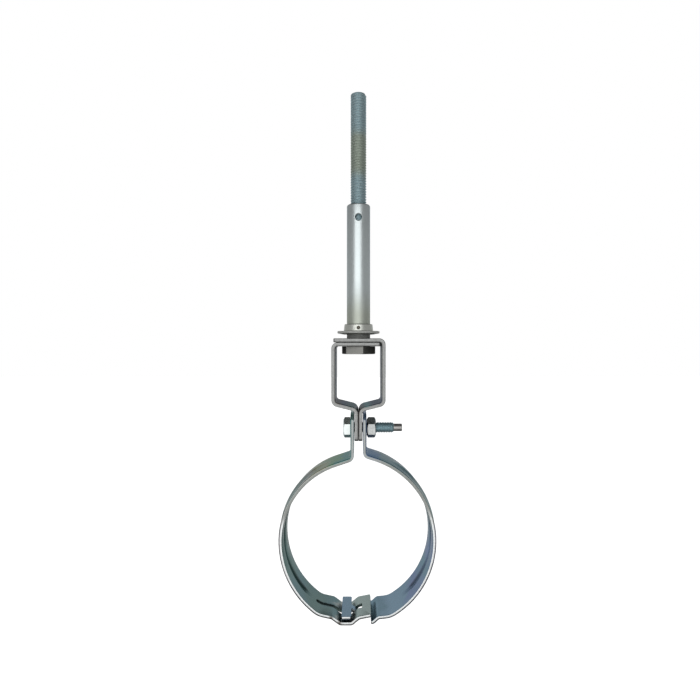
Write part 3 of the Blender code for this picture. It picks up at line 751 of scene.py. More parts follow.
def strap_material(name, outer=None, groove=None):
    """Zinc on rolled strap: bands of film and painted shade along it, and faint rolling lines.

    The outer face can have its own colour, and the groove of the pressed bead a painted shade.
    """
    metal = Metal(name)
    tree = metal.tree
    share = metal.attribute("along", "Fac")
    blank = metal.attribute("blank", "Vector")
    tint = metal.bands(metal.wander(share), FILMS[name])
    sides = metal.group("Strap Sides", Vector=blank, Groove=GROOVE_HALF)
    # On the bracket, the inner face takes the bands, painted dark with shade; the outer face has
    # the zinc's own colour
    if outer:
        tint = blend_colour(tree, sides["Inner"], outer, tint)
    # Painted shade: the bead's groove is darkened, faded in and out along the band
    if groove:
        fade = math_node(tree, "MULTIPLY", ramp(tree, share, *GROOVE_START),
                         ramp(tree, share, *GROOVE_END, 1.0, 0.0))
        tint = blend_colour(tree, math_node(tree, "MULTIPLY", sides["Groove"], fade), tint,
                            groove)
    return metal.finish(tint, lines=metal.lines(blank, *STRAP_LINES))


def sheared_material(name):
    """Zinc on a sheared edge: one set of colours next to the inner face, one next to the outer.
    """
    metal = Metal(name)
    shear = SHEARS[name]
    blank = metal.attribute("blank", "Vector")
    share = metal.attribute("along", "Fac")
    mask = metal.group("Sheared Edge", Vector=blank, Border=shear.border,
                       Ragged=shear.ragged)["Torn"]
    tint = blend_colour(metal.tree, mask, metal.bands(share, shear.inner),
                        metal.bands(share, shear.outer))
    return metal.finish(tint, lines=metal.lines(blank, *SHEAR_LINES), depth=SHEAR_DEPTH)


def punched_material(name):
    """Zinc on the punched walls of a strap's holes, painted dark with the shade inside them."""
    metal = Metal(name)
    return metal.finish(metal.bands(metal.attribute("along", "Fac"), FILMS[name]))


# Mesh building


def make_piece(name, bm, body, node, materials):
    """Makes a bmesh a piece that rides on its body and stands for its node."""
    mesh = bpy.data.meshes.new(name)
    bm.to_mesh(mesh)
    bm.free()
    mesh.shade_smooth()
    mesh.set_sharp_from_angle(angle=SHARP)
    for material in materials:
        mesh.materials.append(material)
    piece = bpy.data.objects.new(name, mesh)
    bpy.context.scene.collection.objects.link(piece)
    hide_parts(node)
    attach(piece, body)
    return piece


def arc(centre, radius, start, sweep, step):
    """Gives the points of an arc, both ends included."""
    count = max(2, math.ceil(abs(sweep) / step))
    angles = [start + sweep * index / count for index in range(count + 1)]
    return [(centre[0] + radius * math.cos(a), centre[1] + radius * math.sin(a)) for a in angles]


def fillet(back, corner, ahead, radius):
    """Gives the centre, the start angle and the sweep of the arc that rounds a corner."""
    corner = Vector(corner)
    one = (Vector(back) - corner).normalized()
    two = (Vector(ahead) - corner).normalized()
    half = one.angle(two) / 2
    centre = corner + (one + two).normalized() * radius / math.sin(half)
    first = corner + one * radius / math.tan(half) - centre
    last = corner + two * radius / math.tan(half) - centre
    start = math.atan2(first.y, first.x)
    sweep = math.remainder(math.atan2(last.y, last.x) - start, math.tau)
    return centre, start, sweep


def outline(corners, step=OUTLINE_STEP):
    """Rounds the (x, y, radius) corners of an outline."""
    points = []
    for index, (x, y, radius) in enumerate(corners):
        if radius:
            after = corners[(index + 1) % len(corners)]
            centre, start, sweep = fillet(corners[index - 1][:2], (x, y), after[:2], radius)
            points += arc(centre, radius, start, sweep, step)
        else:
            points.append((x, y))
    return points


def whole(bm):
    """Gives all of a bmesh's vertices, edges and faces."""
    return bm.verts[:] + bm.edges[:] + bm.faces[:]


def lift(bm, made, distance):
    """Moves the vertices among newly made geometry along Z."""
    fresh = [item for item in made if isinstance(item, bmesh.types.BMVert)]
    bmesh.ops.translate(bm, verts=fresh, vec=(0, 0, distance))


def lathe(profile, segments, turn=Matrix.Identity(4)):
    """Spins (radius, height) points about Z.  A profile off the axis is closed on itself."""
    bm = bmesh.new()
    points = [bm.verts.new((radius, 0, height)) for radius, height in profile]
    edges = [bm.edges.new(pair) for pair in zip(points, points[1:])]
    if profile[0][0] > 0:
        edges.append(bm.edges.new((points[-1], points[0])))
    bmesh.ops.spin(bm, geom=points + edges, axis=(0, 0, 1), cent=(0, 0, 0),
                   angle=math.tau, steps=segments, use_merge=True)
    bmesh.ops.remove_doubles(bm, verts=bm.verts, dist=MERGE)
    bmesh.ops.recalc_face_normals(bm, faces=bm.faces)
    bmesh.ops.transform(bm, matrix=turn, verts=bm.verts)
    return bm


def turned(corners, segments, place=Matrix.Identity(4)):
    """Turns a solid about Z from the rounded (radius, height, round) corners of its profile."""
    return lathe(outline(corners, PROFILE_STEP), segments, place)


def drill(radius, low, high, chamfers, segments, place=Matrix.Identity(4)):
    """Makes the cutter of a through bore that is chamfered at its low and its high end."""
    under, over = low - CUT_MARGIN, high + CUT_MARGIN
    wide = [radius + CUT_MARGIN + chamfer for chamfer in chamfers]
    return lathe([(0, under), (wide[0], under), (radius, low + chamfers[0]),
                  (radius, high - chamfers[1]), (wide[1], over), (0, over)], segments, place)


def hexagon(flats, low, high, turn, chamfer, ends, share, place=Matrix.Identity(4)):
    """Makes a hexagon prism with slightly rounded corners and chamfered ends.

    The share is the width of a chamfered end against the width across the flats.
    """
    radius = flats / 2 / math.cos(math.pi / 6)
    angles = [turn + math.pi / 3 * index for index in range(6)]
    bm = bmesh.new()
    base = bm.faces.new([bm.verts.new((x, y, low)) for x, y in outline(
        [(radius * math.cos(a), radius * math.sin(a), HEXAGON_ROUND) for a in angles])])
    lift(bm, bmesh.ops.extrude_face_region(bm, geom=[base])["geom"], high - low)
    bmesh.ops.recalc_face_normals(bm, faces=bm.faces)
    face = flats / 2 * share
    wide = radius + HEXAGON_MARGIN
    fall = (wide - face) * math.tan(chamfer)
    bottom = [(0, low - CUT_MARGIN), (wide, low - CUT_MARGIN)]
    upper = [(wide, high + CUT_MARGIN), (0, high + CUT_MARGIN)]
    if "low" in ends:
        bottom = [(0, low), (face, low), (wide, low + fall)]
    if "high" in ends:
        upper = [(wide, high - fall), (face, high), (0, high)]
    bmesh.ops.transform(bm, matrix=place, verts=bm.verts)
    return combine(bm, [("INTERSECT", lathe(bottom + upper, ROUND_FACETS, place))])


def combine(bm, tools):
    """Joins, cuts or intersects a closed bmesh with others, and gives the result."""
    made = []
    for shape in [bm] + [tool for _, tool in tools]:
        mesh = bpy.data.meshes.new("shape")
        shape.to_mesh(mesh)
        shape.free()
        made.append(bpy.data.objects.new("shape", mesh))
        bpy.context.scene.collection.objects.link(made[-1])
    for (operation, _), tool in zip(tools, made[1:]):
        modifier = made[0].modifiers.new("combine", "BOOLEAN")
        modifier.operation = operation
        modifier.solver = "EXACT"
        modifier.object = tool
    evaluated = made[0].evaluated_get(bpy.context.evaluated_depsgraph_get())
    result = bmesh.new()
    result.from_mesh(evaluated.to_mesh())
    evaluated.to_mesh_clear()
    for item in made:
        mesh = item.data
        bpy.data.objects.remove(item, do_unlink=True)
        bpy.data.meshes.remove(mesh)
    bmesh.ops.remove_doubles(result, verts=result.verts, dist=MERGE)
    return result


def thread(radius, depth, pitch, low, high, segments, top_chamfer, foot_chamfer):
    """Rolls a closed threaded shank about Z between two heights, chamfered at its ends."""
    crest, valley = CREST * pitch, (CREST + FLANK) * pitch
    run, fall = ROUND_RUN * pitch, ROUND_FALL * depth
    root = radius - depth
    form = [(radius, 0), (radius, crest), (radius - fall, crest + run),
            (root + fall, valley - run), (root, valley), (root, (1 - FLANK) * pitch),
            (root + fall, (1 - FLANK) * pitch + run), (radius - fall, pitch - run),
            (radius, pitch)]
    start = low - 2 * pitch
    bm = bmesh.new()
    points = [bm.verts.new((x, 0, start + z)) for x, z in form]
    edges = [bm.edges.new(pair) for pair in zip(points, points[1:])]
    bmesh.ops.spin(bm, geom=points + edges, axis=(0, 0, 1), cent=(0, 0, 0),
                   dvec=(0, 0, pitch / segments), angle=math.tau, steps=segments,
                   use_merge=False)
    turns = 1
    while start + turns * pitch < high + pitch:
        lift(bm, bmesh.ops.duplicate(bm, geom=whole(bm))["geom"], turns * pitch)
        turns *= 2
    bmesh.ops.remove_doubles(bm, verts=bm.verts, dist=THREAD_MERGE)
    for height, up in ((low, -1), (high, 1)):
        cut = bmesh.ops.bisect_plane(bm, geom=whole(bm), dist=1e-7, plane_co=(0, 0, height),
                                     plane_no=(0, 0, up), clear_outer=True)["geom_cut"]
        rim = [item for item in cut if isinstance(item, bmesh.types.BMEdge)
               and item.is_boundary]
        bmesh.ops.contextual_create(bm, geom=rim)
    for vert in bm.verts:
        limit = radius - max(0, top_chamfer - (high - vert.co.z),
                             foot_chamfer - (vert.co.z - low))
        reach = vert.co.xy.length
        if reach > limit:
            vert.co.x *= limit / reach
            vert.co.y *= limit / reach
    bmesh.ops.recalc_face_normals(bm, faces=bm.faces)
    return bm


class StrapPath:
    """A strap's centre line in the XZ plane, made of straights and bends end to end."""

    def __init__(self):
        self.parts = []
        self.length = 0.0

    def add(self, start, heading, run, curvature=0.0):
        """Adds a straight, or a bend of constant curvature."""
        if run > MERGE:
            self.parts.append((self.length, run, Vector(start), heading, curvature))
            self.length += run

    def add_corners(self, corners):
        """Adds straights between (x, z, radius) corners, rounding each one with a radius."""
        here = Vector(corners[0][:2])
        for back, (x, z, radius), ahead in zip(corners, corners[1:], corners[2:] + [None]):
            stop = Vector((x, z))
            run = stop - here
            heading = math.atan2(run.y, run.x)
            if not radius or ahead is None:
                self.add(here, heading, run.length)
                here = stop
                continue
            centre, start, sweep = fillet(back[:2], (x, z), ahead[:2], radius)
            first = centre + radius * Vector((math.cos(start), math.sin(start)))
            self.add(here, heading, (first - here).length)
            self.add(first, heading, radius * abs(sweep), math.copysign(1 / radius, sweep))
            last = start + sweep
            here = centre + radius * Vector((math.cos(last), math.sin(last)))

    def at(self, distance):
        """Gives the point and the side direction at a distance along the strap."""
        part = self.parts[0]
        for candidate in self.parts:
            if candidate[0] <= distance:
                part = candidate
        begin, _, start, heading, curvature = part
        run = distance - begin
        course = heading + curvature * run
        if curvature:
            point = start + Vector((math.sin(course) - math.sin(heading),
                                    math.cos(heading) - math.cos(course))) / curvature
        else:
            point = start + run * Vector((math.cos(heading), math.sin(heading)))
        return point, Vector((math.sin(course), -math.cos(course)))

    def stations(self):
        """Gives the distances at which the strap is divided so that its bends are round."""
        marks = []
        for begin, run, _, _, curvature in self.parts:
            step = RING_STEP if abs(curvature) * RING_LEAST < 1 else BEND_STEP
            count = max(1, math.ceil(run * abs(curvature) / step))
            marks += [begin + run * index / count for index in range(count)]
        return marks[1:]

    def find(self, x, low, high):
        """Finds the distance between low and high at which the strap crosses x."""
        rising = self.at(high)[0].x > self.at(low)[0].x
        for _ in range(HALVINGS):
            middle = (low + high) / 2
            if (self.at(middle)[0].x < x) == rising:
                low = middle
            else:
                high = middle
        return low


def strap(path, loops, thickness, rounds, outward, rows=(), swell=None):
    """Blanks a strap from flat outlines, rounds its edges and bends it along its path.

    The outlines are in distances along and across the strap, the outer one first.  The
    rounds are those of its inner and its outer edges, and outward is 1 where the sheet's
    upper face is the outer one.  The rows are extra divisions across the strap.  The swell
    gives how far the sheet is pressed sideways.
    """
    below, above = rounds if outward > 0 else reversed(rounds)
    bm = bmesh.new()
    hole = bm.verts.layers.int.new("hole")
    edges = []
    for index, loop in enumerate(loops):
        ring = [bm.verts.new((along, across, below - thickness / 2)) for along, across in loop]
        for vert in ring:
            vert[hole] = min(index, 1)
        edges += [bm.edges.new(pair) for pair in zip(ring, ring[1:] + ring[:1])]
    bmesh.ops.triangle_fill(bm, use_beauty=True, use_dissolve=False, edges=edges,
                            normal=(0, 0, -1))
    raised = bmesh.ops.extrude_face_region(bm, geom=bm.faces[:], use_keep_orig=True)["geom"]
    lift(bm, raised, thickness - below - above)
    bmesh.ops.recalc_face_normals(bm, faces=bm.faces)
    for face in bm.faces:
        if abs(face.normal.z) < 0.5:
            face.material_index = 2 if all(vert[hole] for vert in face.verts) else 1
    for side, radius in ((-1, below), (1, above)):
        flat = [face for face in bm.faces if face.normal.z * side > 0.5]
        last = Vector((0, 0))
        for step in range(1, ROUND_STEPS + 1):
            part = math.pi / 2 * step / ROUND_STEPS
            reached = Vector((1 - math.cos(part), math.sin(part))) * radius
            bmesh.ops.inset_region(bm, faces=flat, thickness=reached.x - last.x,
                                   depth=reached.y - last.y, use_even_offset=True,
                                   use_boundary=True)
            last = reached
    planes = [((along, 0, 0), (1, 0, 0)) for along in path.stations()]
    planes += [((0, across, 0), (0, 1, 0)) for across in rows]
    for place, normal in planes:
        bmesh.ops.bisect_plane(bm, geom=whole(bm), dist=BISECT_SNAP, plane_co=place,
                               plane_no=normal)
    blank = bm.verts.layers.float_vector.new("blank")
    share = bm.verts.layers.float.new("along")
    for vert in bm.verts:
        vert[blank] = (vert.co.x, vert.co.y, vert.co.z * outward)
        vert[share] = vert.co.x / path.length
        point, side = path.at(vert.co.x)
        press = swell(point, vert.co.y) if swell else 0.0
        place = point + side * (vert.co.z + press)
        vert.co = (place.x, vert.co.y, place.y)
    bmesh.ops.remove_doubles(bm, verts=bm.verts, dist=MERGE)
    bmesh.ops.recalc_face_normals(bm, faces=bm.faces)
    if bm.calc_volume(signed=True) < 0:
        bmesh.ops.reverse_faces(bm, faces=bm.faces)
    return bm


def circle(along, radius, rise=0.0):
    """Outlines a round hole on a strap's middle line, or an oval one along the strap."""
    right = arc((along + rise, 0), radius, -math.pi / 2, math.pi, OUTLINE_STEP)
    left = arc((along - rise, 0), radius, math.pi / 2, math.pi, OUTLINE_STEP)
    return right + left if rise else right[:-1] + left[:-1]


class HANGER_OT_rod(bpy.types.Operator):
    """Rolls the threaded rod"""

    bl_idname = "hanger.rod"
    bl_label = "Threaded Rod"

    def execute(self, context):
        rod = context.scene.hanger_rod
        bm = thread(ROD_HIGH.x, rod.depth, rod.pitch, ROD_LOW.z, ROD_HIGH.z, rod.segments,
                    rod.burr, rod.chamfer)
        make_piece("rod_threaded", bm, "rod", "hanger_rod", [rod_material()])
        return {"FINISHED"}


class HANGER_OT_sleeve(bpy.types.Operator):
    """Turns the sleeve nut and its flanged collar"""

    bl_idname = "hanger.sleeve"
    bl_label = "Sleeve Nut and Collar"

    def execute(self, context):
        sizes = context.scene.hanger_sleeve
        radius = sizes.diameter / 2
        foot, top = SLEEVE_LOW.z, SLEEVE_HIGH.z
        joint = foot + sizes.head_height / 2
        head = hexagon(sizes.flats, foot, foot + sizes.head_height, sizes.head_turn,
                       sizes.chamfer, ("low",), sizes.face)
        tube = turned([(0, top, 0), (radius, top, sizes.rim), (radius, joint, 0), (0, joint, 0)],
                      ROUND_FACETS)
        bore = drill(sizes.bore / 2, foot, top, SLEEVE_CHAMFERS, ROUND_FACETS)
        hole = sizes.sight_hole / 2
        mouth = hole + MOUTH_FLARE
        sight = Matrix.Translation((0, 0, top - sizes.sight_drop)) @ ALONG_Y
        sight_drill = lathe([(0, 0), (hole, 0), (hole, radius - MOUTH_DEPTH),
                             (mouth, radius + MOUTH_RISE),
                             (mouth, radius + CUT_MARGIN), (0, radius + CUT_MARGIN)],
                            SMALL_FACETS, sight)
        bm = combine(head, [("UNION", tube), ("DIFFERENCE", sight_drill), ("DIFFERENCE", bore)])
        make_piece("sleeve_tube", bm, "sleeve", "sleeve_nut", [sleeve_material()])
        self.make_collar(context.scene.hanger_finish, sizes)
        return {"FINISHED"}

    def make_collar(self, colours, sizes):
        """Turns the collar, with its thin flange and its stake mark."""
        bore = sizes.diameter / 2 + sizes.collar_play
        root = COLLAR_LOW.z + sizes.flange_root
        rim = COLLAR_HIGH.x
        reach = sizes.collar_foot / 2
        profile = outline([
            (bore, COLLAR_HIGH.z, COLLAR_BORE_ROUND),
            (sizes.collar_top / 2, COLLAR_HIGH.z, COLLAR_ROUND), (reach, root, FLANGE_FILLET),
            (rim, root, RIM_ROUND), (rim, root - sizes.flange_rim, RIM_ROUND),
            (reach, COLLAR_LOW.z, 0), (bore, COLLAR_LOW.z, COLLAR_BORE_ROUND)])
        dimple = sizes.stake / 2
        mouth = dimple + MOUTH_FLARE
        mark = Matrix.Translation((0, 0, COLLAR_HIGH.z - sizes.stake_drop)) @ ALONG_Y
        punch = lathe([(0, reach - sizes.stake_depth),
                       (dimple * STAKE_FLAT, reach - sizes.stake_depth + STAKE_CROWN),
                       (dimple, reach - MOUTH_DEPTH), (mouth, reach + STAKE_RISE),
                       (mouth, reach + CUT_MARGIN), (0, reach + CUT_MARGIN)],
                      STAKE_FACETS, mark)
        bm = combine(lathe(profile, ROUND_FACETS), [("DIFFERENCE", punch)])
        from_mark = mark.inverted()
        for face in bm.faces:
            near = [from_mark @ vert.co for vert in face.verts]
            if all(spot.xy.length < dimple + STAKE_MARGIN and spot.z > 0 for spot in near):
                face.material_index = 2
            elif all(vert.co.xy.length > reach + sizes.rim / 2 for vert in face.verts):
                face.material_index = 1
        make_piece("collar_flanged", bm, "sleeve", "flanged_collar",
                   [plain_material("collar_zinc", colours.collar),
                    plain_material("flange_zinc", colours.flange),
                    plain_material("stake_hollow", colours.hollow)])


class HANGER_OT_bracket(bpy.types.Operator):
    """Bends the bracket's two straps"""

    bl_idname = "hanger.bracket"
    bl_label = "Bracket Straps"

    def execute(self, context):
        sizes = context.scene.hanger_strap
        # The outer faces keep the zinc's own colour; the inner faces are painted dark with shade
        outer = context.scene.hanger_finish.bracket_outer
        sleeve_hole = context.scene.hanger_sleeve.diameter / 2 + sizes.sleeve_play
        edge = sheared_material("bracket_sheared")
        punched = punched_material("bracket_punched")
        half = sizes.thickness / 2
        wall = RIGHT_HIGH.x - half
        tab = sizes.contact / 2 + half
        seam = (LEFT_HIGH.z + RIGHT_HIGH.z - sizes.thickness) / 2
        shoulder = LEFT_HIGH.z - half - sizes.shoulder_drop
        foot = shoulder - (wall - tab) * math.tan(sizes.shoulder_slope)
        for name, side, leg_end in (("left", -1, LEFT_HIGH.x), ("right", 1, -RIGHT_LOW.x)):
            leg = seam + side * tab
            path = StrapPath()
            path.add_corners([(-side * leg_end, leg, 0),
                              (side * wall, leg, sizes.top_bend + half),
                              (side * wall, shoulder, sizes.shoulder_bend + half),
                              (side * tab, foot, sizes.tab_bend + half),
                              (side * tab, LEFT_LOW.z, 0)])
            loops = [outline([(0, -STRAP_HALF, sizes.end_corner),
                              (path.length, -STRAP_HALF, sizes.tab_corner),
                              (path.length, STRAP_HALF, sizes.tab_corner),
                              (0, STRAP_HALF, sizes.end_corner)]),
                     circle(leg_end, sleeve_hole),
                     circle(path.length - (BOLT_Z - LEFT_LOW.z), sizes.bolt_hole / 2)]
            bm = strap(path, loops, sizes.thickness, (sizes.edge, sizes.rollover), -side)
            make_piece("bracket_strap_" + name, bm, "bracket", "bracket_" + name,
                       [strap_material("bracket_zinc_" + name, outer=outer), edge, punched])
        return {"FINISHED"}


# The bends of the hook joint, from the ring to the strap's end
LEFT_HOOK = ("mouth", "dip_left", "dip_right", "crest", "lip")
RIGHT_HOOK = ("run_in", "fall_end", "neck_foot", "head_right", "head_left")


class HANGER_OT_band(bpy.types.Operator):
    """Presses and rolls the two half bands with their hook joint"""

    bl_idname = "hanger.band"
    bl_label = "Pipe Band"

    def execute(self, context):
        scene = context.scene
        band, hook = scene.hanger_band, scene.hanger_hook
        hole = scene.hanger_strap.bolt_hole / 2
        ring_z = BOLT_Z - band.ring_drop
        punched = punched_material("band_punched")
        rows = [band.bead_width * (index / BEAD_STRIPS - 0.5) for index in range(BEAD_STRIPS + 1)]
        for name, side, body, end_of_blank, rise in (
                ("left", -1, "band", self.slotted_end, 0.0),
                ("right", 1, "hook", self.headed_end, band.hole_rise)):
            path = self.half_ring(scene, name, side, ring_z)
            end, holes = end_of_blank(hook, path)
            loops = [outline([(0, STRAP_HALF, band.ear_corner), (0, -STRAP_HALF, band.ear_corner)]
                             + end), circle(BAND_LEFT_HIGH.z - BOLT_Z, hole, rise)] + holes
            # Painted shade for the groove of the pressed bead
            groove = getattr(scene.hanger_finish, name + "_groove")
            bm = strap(path, loops, band.thickness, (band.edge, band.rollover), -side, rows,
                       self.bead(band, side, ring_z))
            make_piece("band_strap_" + name, bm, body, "band_" + name,
                       [strap_material("band_zinc_" + name, groove=groove),
                        sheared_material("band_sheared_" + name), punched])
        return {"FINISHED"}

    def half_ring(self, scene, name, side, ring_z):
        """Gives a half band's path: its ear, its two rolled radii and the hook's corners."""
        band = scene.hanger_band
        reach, upper, lower, start_x, end_x, lead = [
            getattr(band, f"{name}_{size}")
            for size in ("reach", "upper", "lower", "start", "end", "lead")]
        half = band.thickness / 2
        ear_x = scene.hanger_strap.plate_play * 1.5 + scene.hanger_strap.thickness + half
        upper, lower = upper + half, lower + half
        upper_middle, lower_middle = reach + half - upper, reach + half - lower
        tip = math.asin((start_x - upper_middle) / upper)
        start = Vector((side * start_x, ring_z + upper * math.cos(tip)))
        ear_foot = start.y + (start_x - ear_x) * math.tan(tip)
        path = StrapPath()
        path.add_corners([(side * ear_x, BAND_LEFT_HIGH.z, 0),
                          (side * ear_x, ear_foot, band.ear_bend + half), (*start, 0)])
        heading = -tip if side > 0 else math.pi + tip
        path.add(start, heading, upper * (math.pi / 2 - tip), -side / upper)
        low_tip = math.acos((end_x - lower_middle) / lower)
        widest = Vector((side * (lower_middle + lower), ring_z))
        path.add(widest, -math.pi / 2, lower * low_tip, -side / lower)
        end = Vector((side * end_x, ring_z - lower * math.sin(low_tip)))
        run = end + lead * Vector((-side * math.sin(low_tip), -math.cos(low_tip)))
        path.add_corners([(*end, 0), (*run, band.run_bend + half)]
                         + self.hook_corners(scene.hanger_hook, side, half))
        return path

    def hook_corners(self, hook, side, half):
        """Gives the (x, z, radius) corners of one side of the hook joint."""
        dip = BAND_LEFT_LOW.z + half
        names = RIGHT_HOOK if side > 0 else LEFT_HOOK
        return [(x, dip + rise, bend + half if bend else 0)
                for x, rise, bend in (getattr(hook, name) for name in names)]

    def slotted_end(self, hook, path):
        """Outlines the left half band's end, and the slot that the neck lies in."""
        total, middle = path.length, path.length / 2
        first, narrow, full, last = [
            path.find(x, middle, total)
            for x in (-hook.slot_left, -hook.slot_narrow, -hook.slot_full, hook.slot_right)]
        reach, tip, round_tip = hook.slot_width / 2, hook.slot_tip / 2, hook.slot_tip * TIP_ROUND
        slot = outline([(last, -reach, hook.corner), (last, reach, hook.corner),
                        (full, reach, hook.slot_width), (narrow, tip, hook.slot_width),
                        (first, tip, round_tip), (first, -tip, round_tip),
                        (narrow, -tip, hook.slot_width), (full, -reach, hook.slot_width)])
        return [(total, -STRAP_HALF, hook.corner), (total, STRAP_HALF, hook.corner)], [slot]

    def headed_end(self, hook, path):
        """Outlines the right half band's end: its shoulders, its neck and its T-head."""
        total, middle = path.length, path.length / 2
        wide = path.find(hook.shoulder, middle, total)
        head = path.find(hook.head_right[0], middle, total)
        neck = hook.neck_width / 2
        half_end = [(wide, STRAP_HALF), (wide, neck), (head, neck), (head, STRAP_HALF),
                    (total, STRAP_HALF)]
        return ([(along, -across, hook.corner) for along, across in half_end]
                + [(along, across, hook.corner) for along, across in reversed(half_end)]), []

    def bead(self, band, side, ring_z):
        """Gives the function of the pressed bead's height, which fades out at both ends."""
        def press(point, across):
            if abs(across) >= band.bead_width / 2:
                return 0.0
            end, run = band.bead_foot, band.bead_run_out
            if point.y > ring_z:
                end, run = band.bead_top, band.bead_rise
            fade = min(max((abs(point.x) - end) / run, 0), 1)
            fade = fade * fade * (3 - 2 * fade)
            crown = (1 + math.cos(math.tau * across / band.bead_width)) / 2
            return -side * band.bead_height * fade * crown
        return press


class HANGER_OT_clamp(bpy.types.Operator):
    """Makes the clamp bolt and its nut"""

    bl_idname = "hanger.clamp"
    bl_label = "Clamp Bolt and Nut"

    def execute(self, context):
        sizes = context.scene.hanger_clamp
        colours = context.scene.hanger_finish
        place = Matrix.Translation((0, 0, BOLT_Z)) @ ALONG_X
        radius = sizes.diameter / 2
        dog = sizes.dog / 2
        turn = math.pi - sizes.turn
        under = BOLT_LOW.x + sizes.head
        end = BOLT_HIGH.x - sizes.dog_length
        head = hexagon(sizes.flats, BOLT_LOW.x, under, turn, sizes.chamfer, ("low",),
                       sizes.face, place)
        shank = thread(radius, sizes.depth, sizes.pitch, under - sizes.head / 2, end,
                       sizes.segments, radius - dog, 0)
        bmesh.ops.transform(shank, matrix=place, verts=shank.verts)
        point = turned([(0, end - CUT_MARGIN, 0), (dog, end - CUT_MARGIN, 0),
                        (dog, BOLT_HIGH.x, DOG_ROUND), (0, BOLT_HIGH.x, 0)], SMALL_FACETS, place)
        bm = combine(head, [("UNION", shank), ("UNION", point)])
        for face in bm.faces:
            reach = face.calc_center_median().x
            face.material_index = 0 if reach < under else 1 if reach < end else 2
        make_piece("bolt_threaded", bm, "band", "clamp_bolt",
                   [plain_material("bolt_zinc", colours.bolt),
                    plain_material("bolt_thread_zinc", colours.bolt_thread),
                    plain_material("dog_zinc", colours.dog)])

        nut = hexagon(sizes.flats, NUT_LOW.x, NUT_HIGH.x, turn, sizes.chamfer, ("low", "high"),
                      sizes.face, place)
        bore = drill(radius + sizes.play, NUT_LOW.x, NUT_HIGH.x, NUT_CHAMFERS, NUT_FACETS,
                     place)
        make_piece("nut_hexagon", combine(nut, [("DIFFERENCE", bore)]), "nut", "clamp_nut",
                   [plain_material("nut_zinc", colours.nut)])
        return {"FINISHED"}


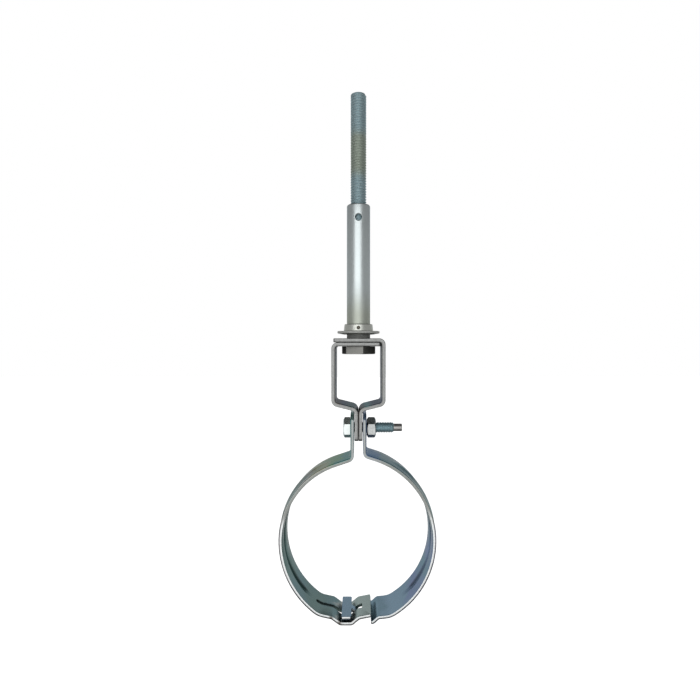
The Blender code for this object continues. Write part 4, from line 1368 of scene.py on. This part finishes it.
class HANGER_OT_stage(bpy.types.Operator):
    """Sets up the floor, the world, the lamps and the camera"""

    bl_idname = "hanger.stage"
    bl_label = "Studio Stage"

    def execute(self, context):
        scene = context.scene
        stage = scene.hanger_stage
        self.make_floor(scene, stage)
        self.make_world(scene, stage)
        self.hang_softbox(scene, stage)
        lens = bpy.data.cameras.new("camera")
        lens.lens = stage.lens
        lens.shift_x, lens.shift_y = stage.shift
        camera = bpy.data.objects.new("camera", lens)
        camera.location = stage.camera
        camera.rotation_euler = (math.radians(90), 0, 0)
        scene.collection.objects.link(camera)
        scene.camera = camera
        scene.view_settings.view_transform = "Standard"
        return {"FINISHED"}

    def make_floor(self, scene, stage):
        """Lays the pale floor, which is white where no shadow falls."""
        bm = bmesh.new()
        bmesh.ops.create_grid(bm, x_segments=1, y_segments=1, size=FLOOR_SIZE)
        bmesh.ops.translate(bm, verts=bm.verts, vec=(0, 0, -stage.floor_drop))
        mesh = bpy.data.meshes.new("floor")
        bm.to_mesh(mesh)
        bm.free()
        floor = bpy.data.objects.new("floor", mesh)
        scene.collection.objects.link(floor)
        material = bpy.data.materials.new("pale_floor")
        material.use_nodes = True
        tree = material.node_tree
        shader = tree.nodes["Principled BSDF"].inputs
        for name, value in (("Base Color", FLOOR_GREY), ("Roughness", 0.9),
                            ("Specular IOR Level", 0.0), ("Emission Color", WHITE)):
            shader[name].default_value = value
        rays = tree.nodes.new("ShaderNodeLightPath").outputs
        place = tree.nodes.new("ShaderNodeTexCoord").outputs["Object"]
        behind = ramp(tree, axis_of(tree, place, "Y"), *BEHIND)
        seen = math_node(tree, "MAXIMUM", rays["Is Camera Ray"],
                         math_node(tree, "MULTIPLY", rays["Is Glossy Ray"], behind))
        seen = math_node(tree, "MAXIMUM", seen, rays["Is Transmission Ray"])
        feed(tree, shader["Emission Strength"], seen)
        mesh.materials.append(material)

    def make_world(self, scene, stage):
        """Makes a white backdrop behind the object, in a grey room with a dark ceiling."""
        scene.world = bpy.data.worlds.new("studio")
        scene.world.use_nodes = True
        tree = scene.world.node_tree
        direction = tree.nodes.new("ShaderNodeTexCoord").outputs["Generated"]
        rays = tree.nodes.new("ShaderNodeLightPath").outputs
        height = axis_of(tree, direction, "Z")
        room = ramp(tree, height, *ROOM_HEIGHTS, stage.horizon, stage.zenith)
        backdrop = math_node(tree, "MULTIPLY",
                             ramp(tree, axis_of(tree, direction, "Y"), *BACKDROP_DEPTHS),
                             ramp(tree, height, *BACKDROP_HEIGHTS, 1.0, 0.0))
        strength = math_node(tree, "MAXIMUM", room, backdrop)
        strength = math_node(tree, "MAXIMUM", strength, rays["Is Camera Ray"])
        feed(tree, tree.nodes["Background"].inputs["Strength"], strength)
        feed(tree, tree.nodes["Background"].inputs["Color"], WHITE)

    def hang_softbox(self, scene, stage):
        """Hangs the rectangular softbox in front of the object."""
        lamp = bpy.data.lights.new("front_softbox", "AREA")
        lamp.shape = "RECTANGLE"
        lamp.size, lamp.size_y = SOFTBOX_SIZE
        lamp.energy = stage.key
        softbox = bpy.data.objects.new("front_softbox", lamp)
        softbox.location = SOFTBOX_PLACE
        softbox.rotation_euler = (SOFTBOX_TARGET - SOFTBOX_PLACE).to_track_quat(
            "-Z", "Y").to_euler()
        scene.collection.objects.link(softbox)


class HANGER_PT_panel(bpy.types.Panel):
    """Lists the hanger's pieces in the 3D view's sidebar"""

    bl_idname = "HANGER_PT_panel"
    bl_label = "Pipe Hanger"
    bl_space_type = "VIEW_3D"
    bl_region_type = "UI"
    bl_category = "Pipe Hanger"

    def draw(self, context):
        for operator in OPERATORS:
            self.layout.operator(operator.bl_idname, text=operator.bl_label)
        for name in SETTINGS:
            group = getattr(context.scene, name)
            box = self.layout.box()
            for prop in group.__annotations__:
                box.prop(group, prop)


SETTINGS = {
    "hanger_rod": RodSettings, "hanger_sleeve": SleeveSettings, "hanger_strap": StrapSettings,
    "hanger_band": BandSettings, "hanger_hook": HookSettings, "hanger_clamp": ClampSettings,
    "hanger_finish": FinishSettings, "hanger_stage": StageSettings,
}
OPERATORS = (HANGER_OT_stage, HANGER_OT_rod, HANGER_OT_sleeve, HANGER_OT_bracket,
             HANGER_OT_band, HANGER_OT_clamp)


def register():
    """Registers the settings, the operators and the panel."""
    for name, group in SETTINGS.items():
        bpy.utils.register_class(group)
        setattr(bpy.types.Scene, name, PointerProperty(type=group))
    for operator in OPERATORS:
        bpy.utils.register_class(operator)
    bpy.utils.register_class(HANGER_PT_panel)


def unregister():
    """Takes the panel, the operators and the settings away again."""
    bpy.utils.unregister_class(HANGER_PT_panel)
    for operator in reversed(OPERATORS):
        bpy.utils.unregister_class(operator)
    for name, group in SETTINGS.items():
        delattr(bpy.types.Scene, name)
        bpy.utils.unregister_class(group)


def main():
    """Builds the stage and the hanger."""
    register()
    for make_group in (drift_group, grain_group, lines_group, shear_group, sides_group):
        make_group()
    for operator in OPERATORS:
        group, name = operator.bl_idname.split(".")
        getattr(getattr(bpy.ops, group), name)()


if __name__ == "__main__":
    main()
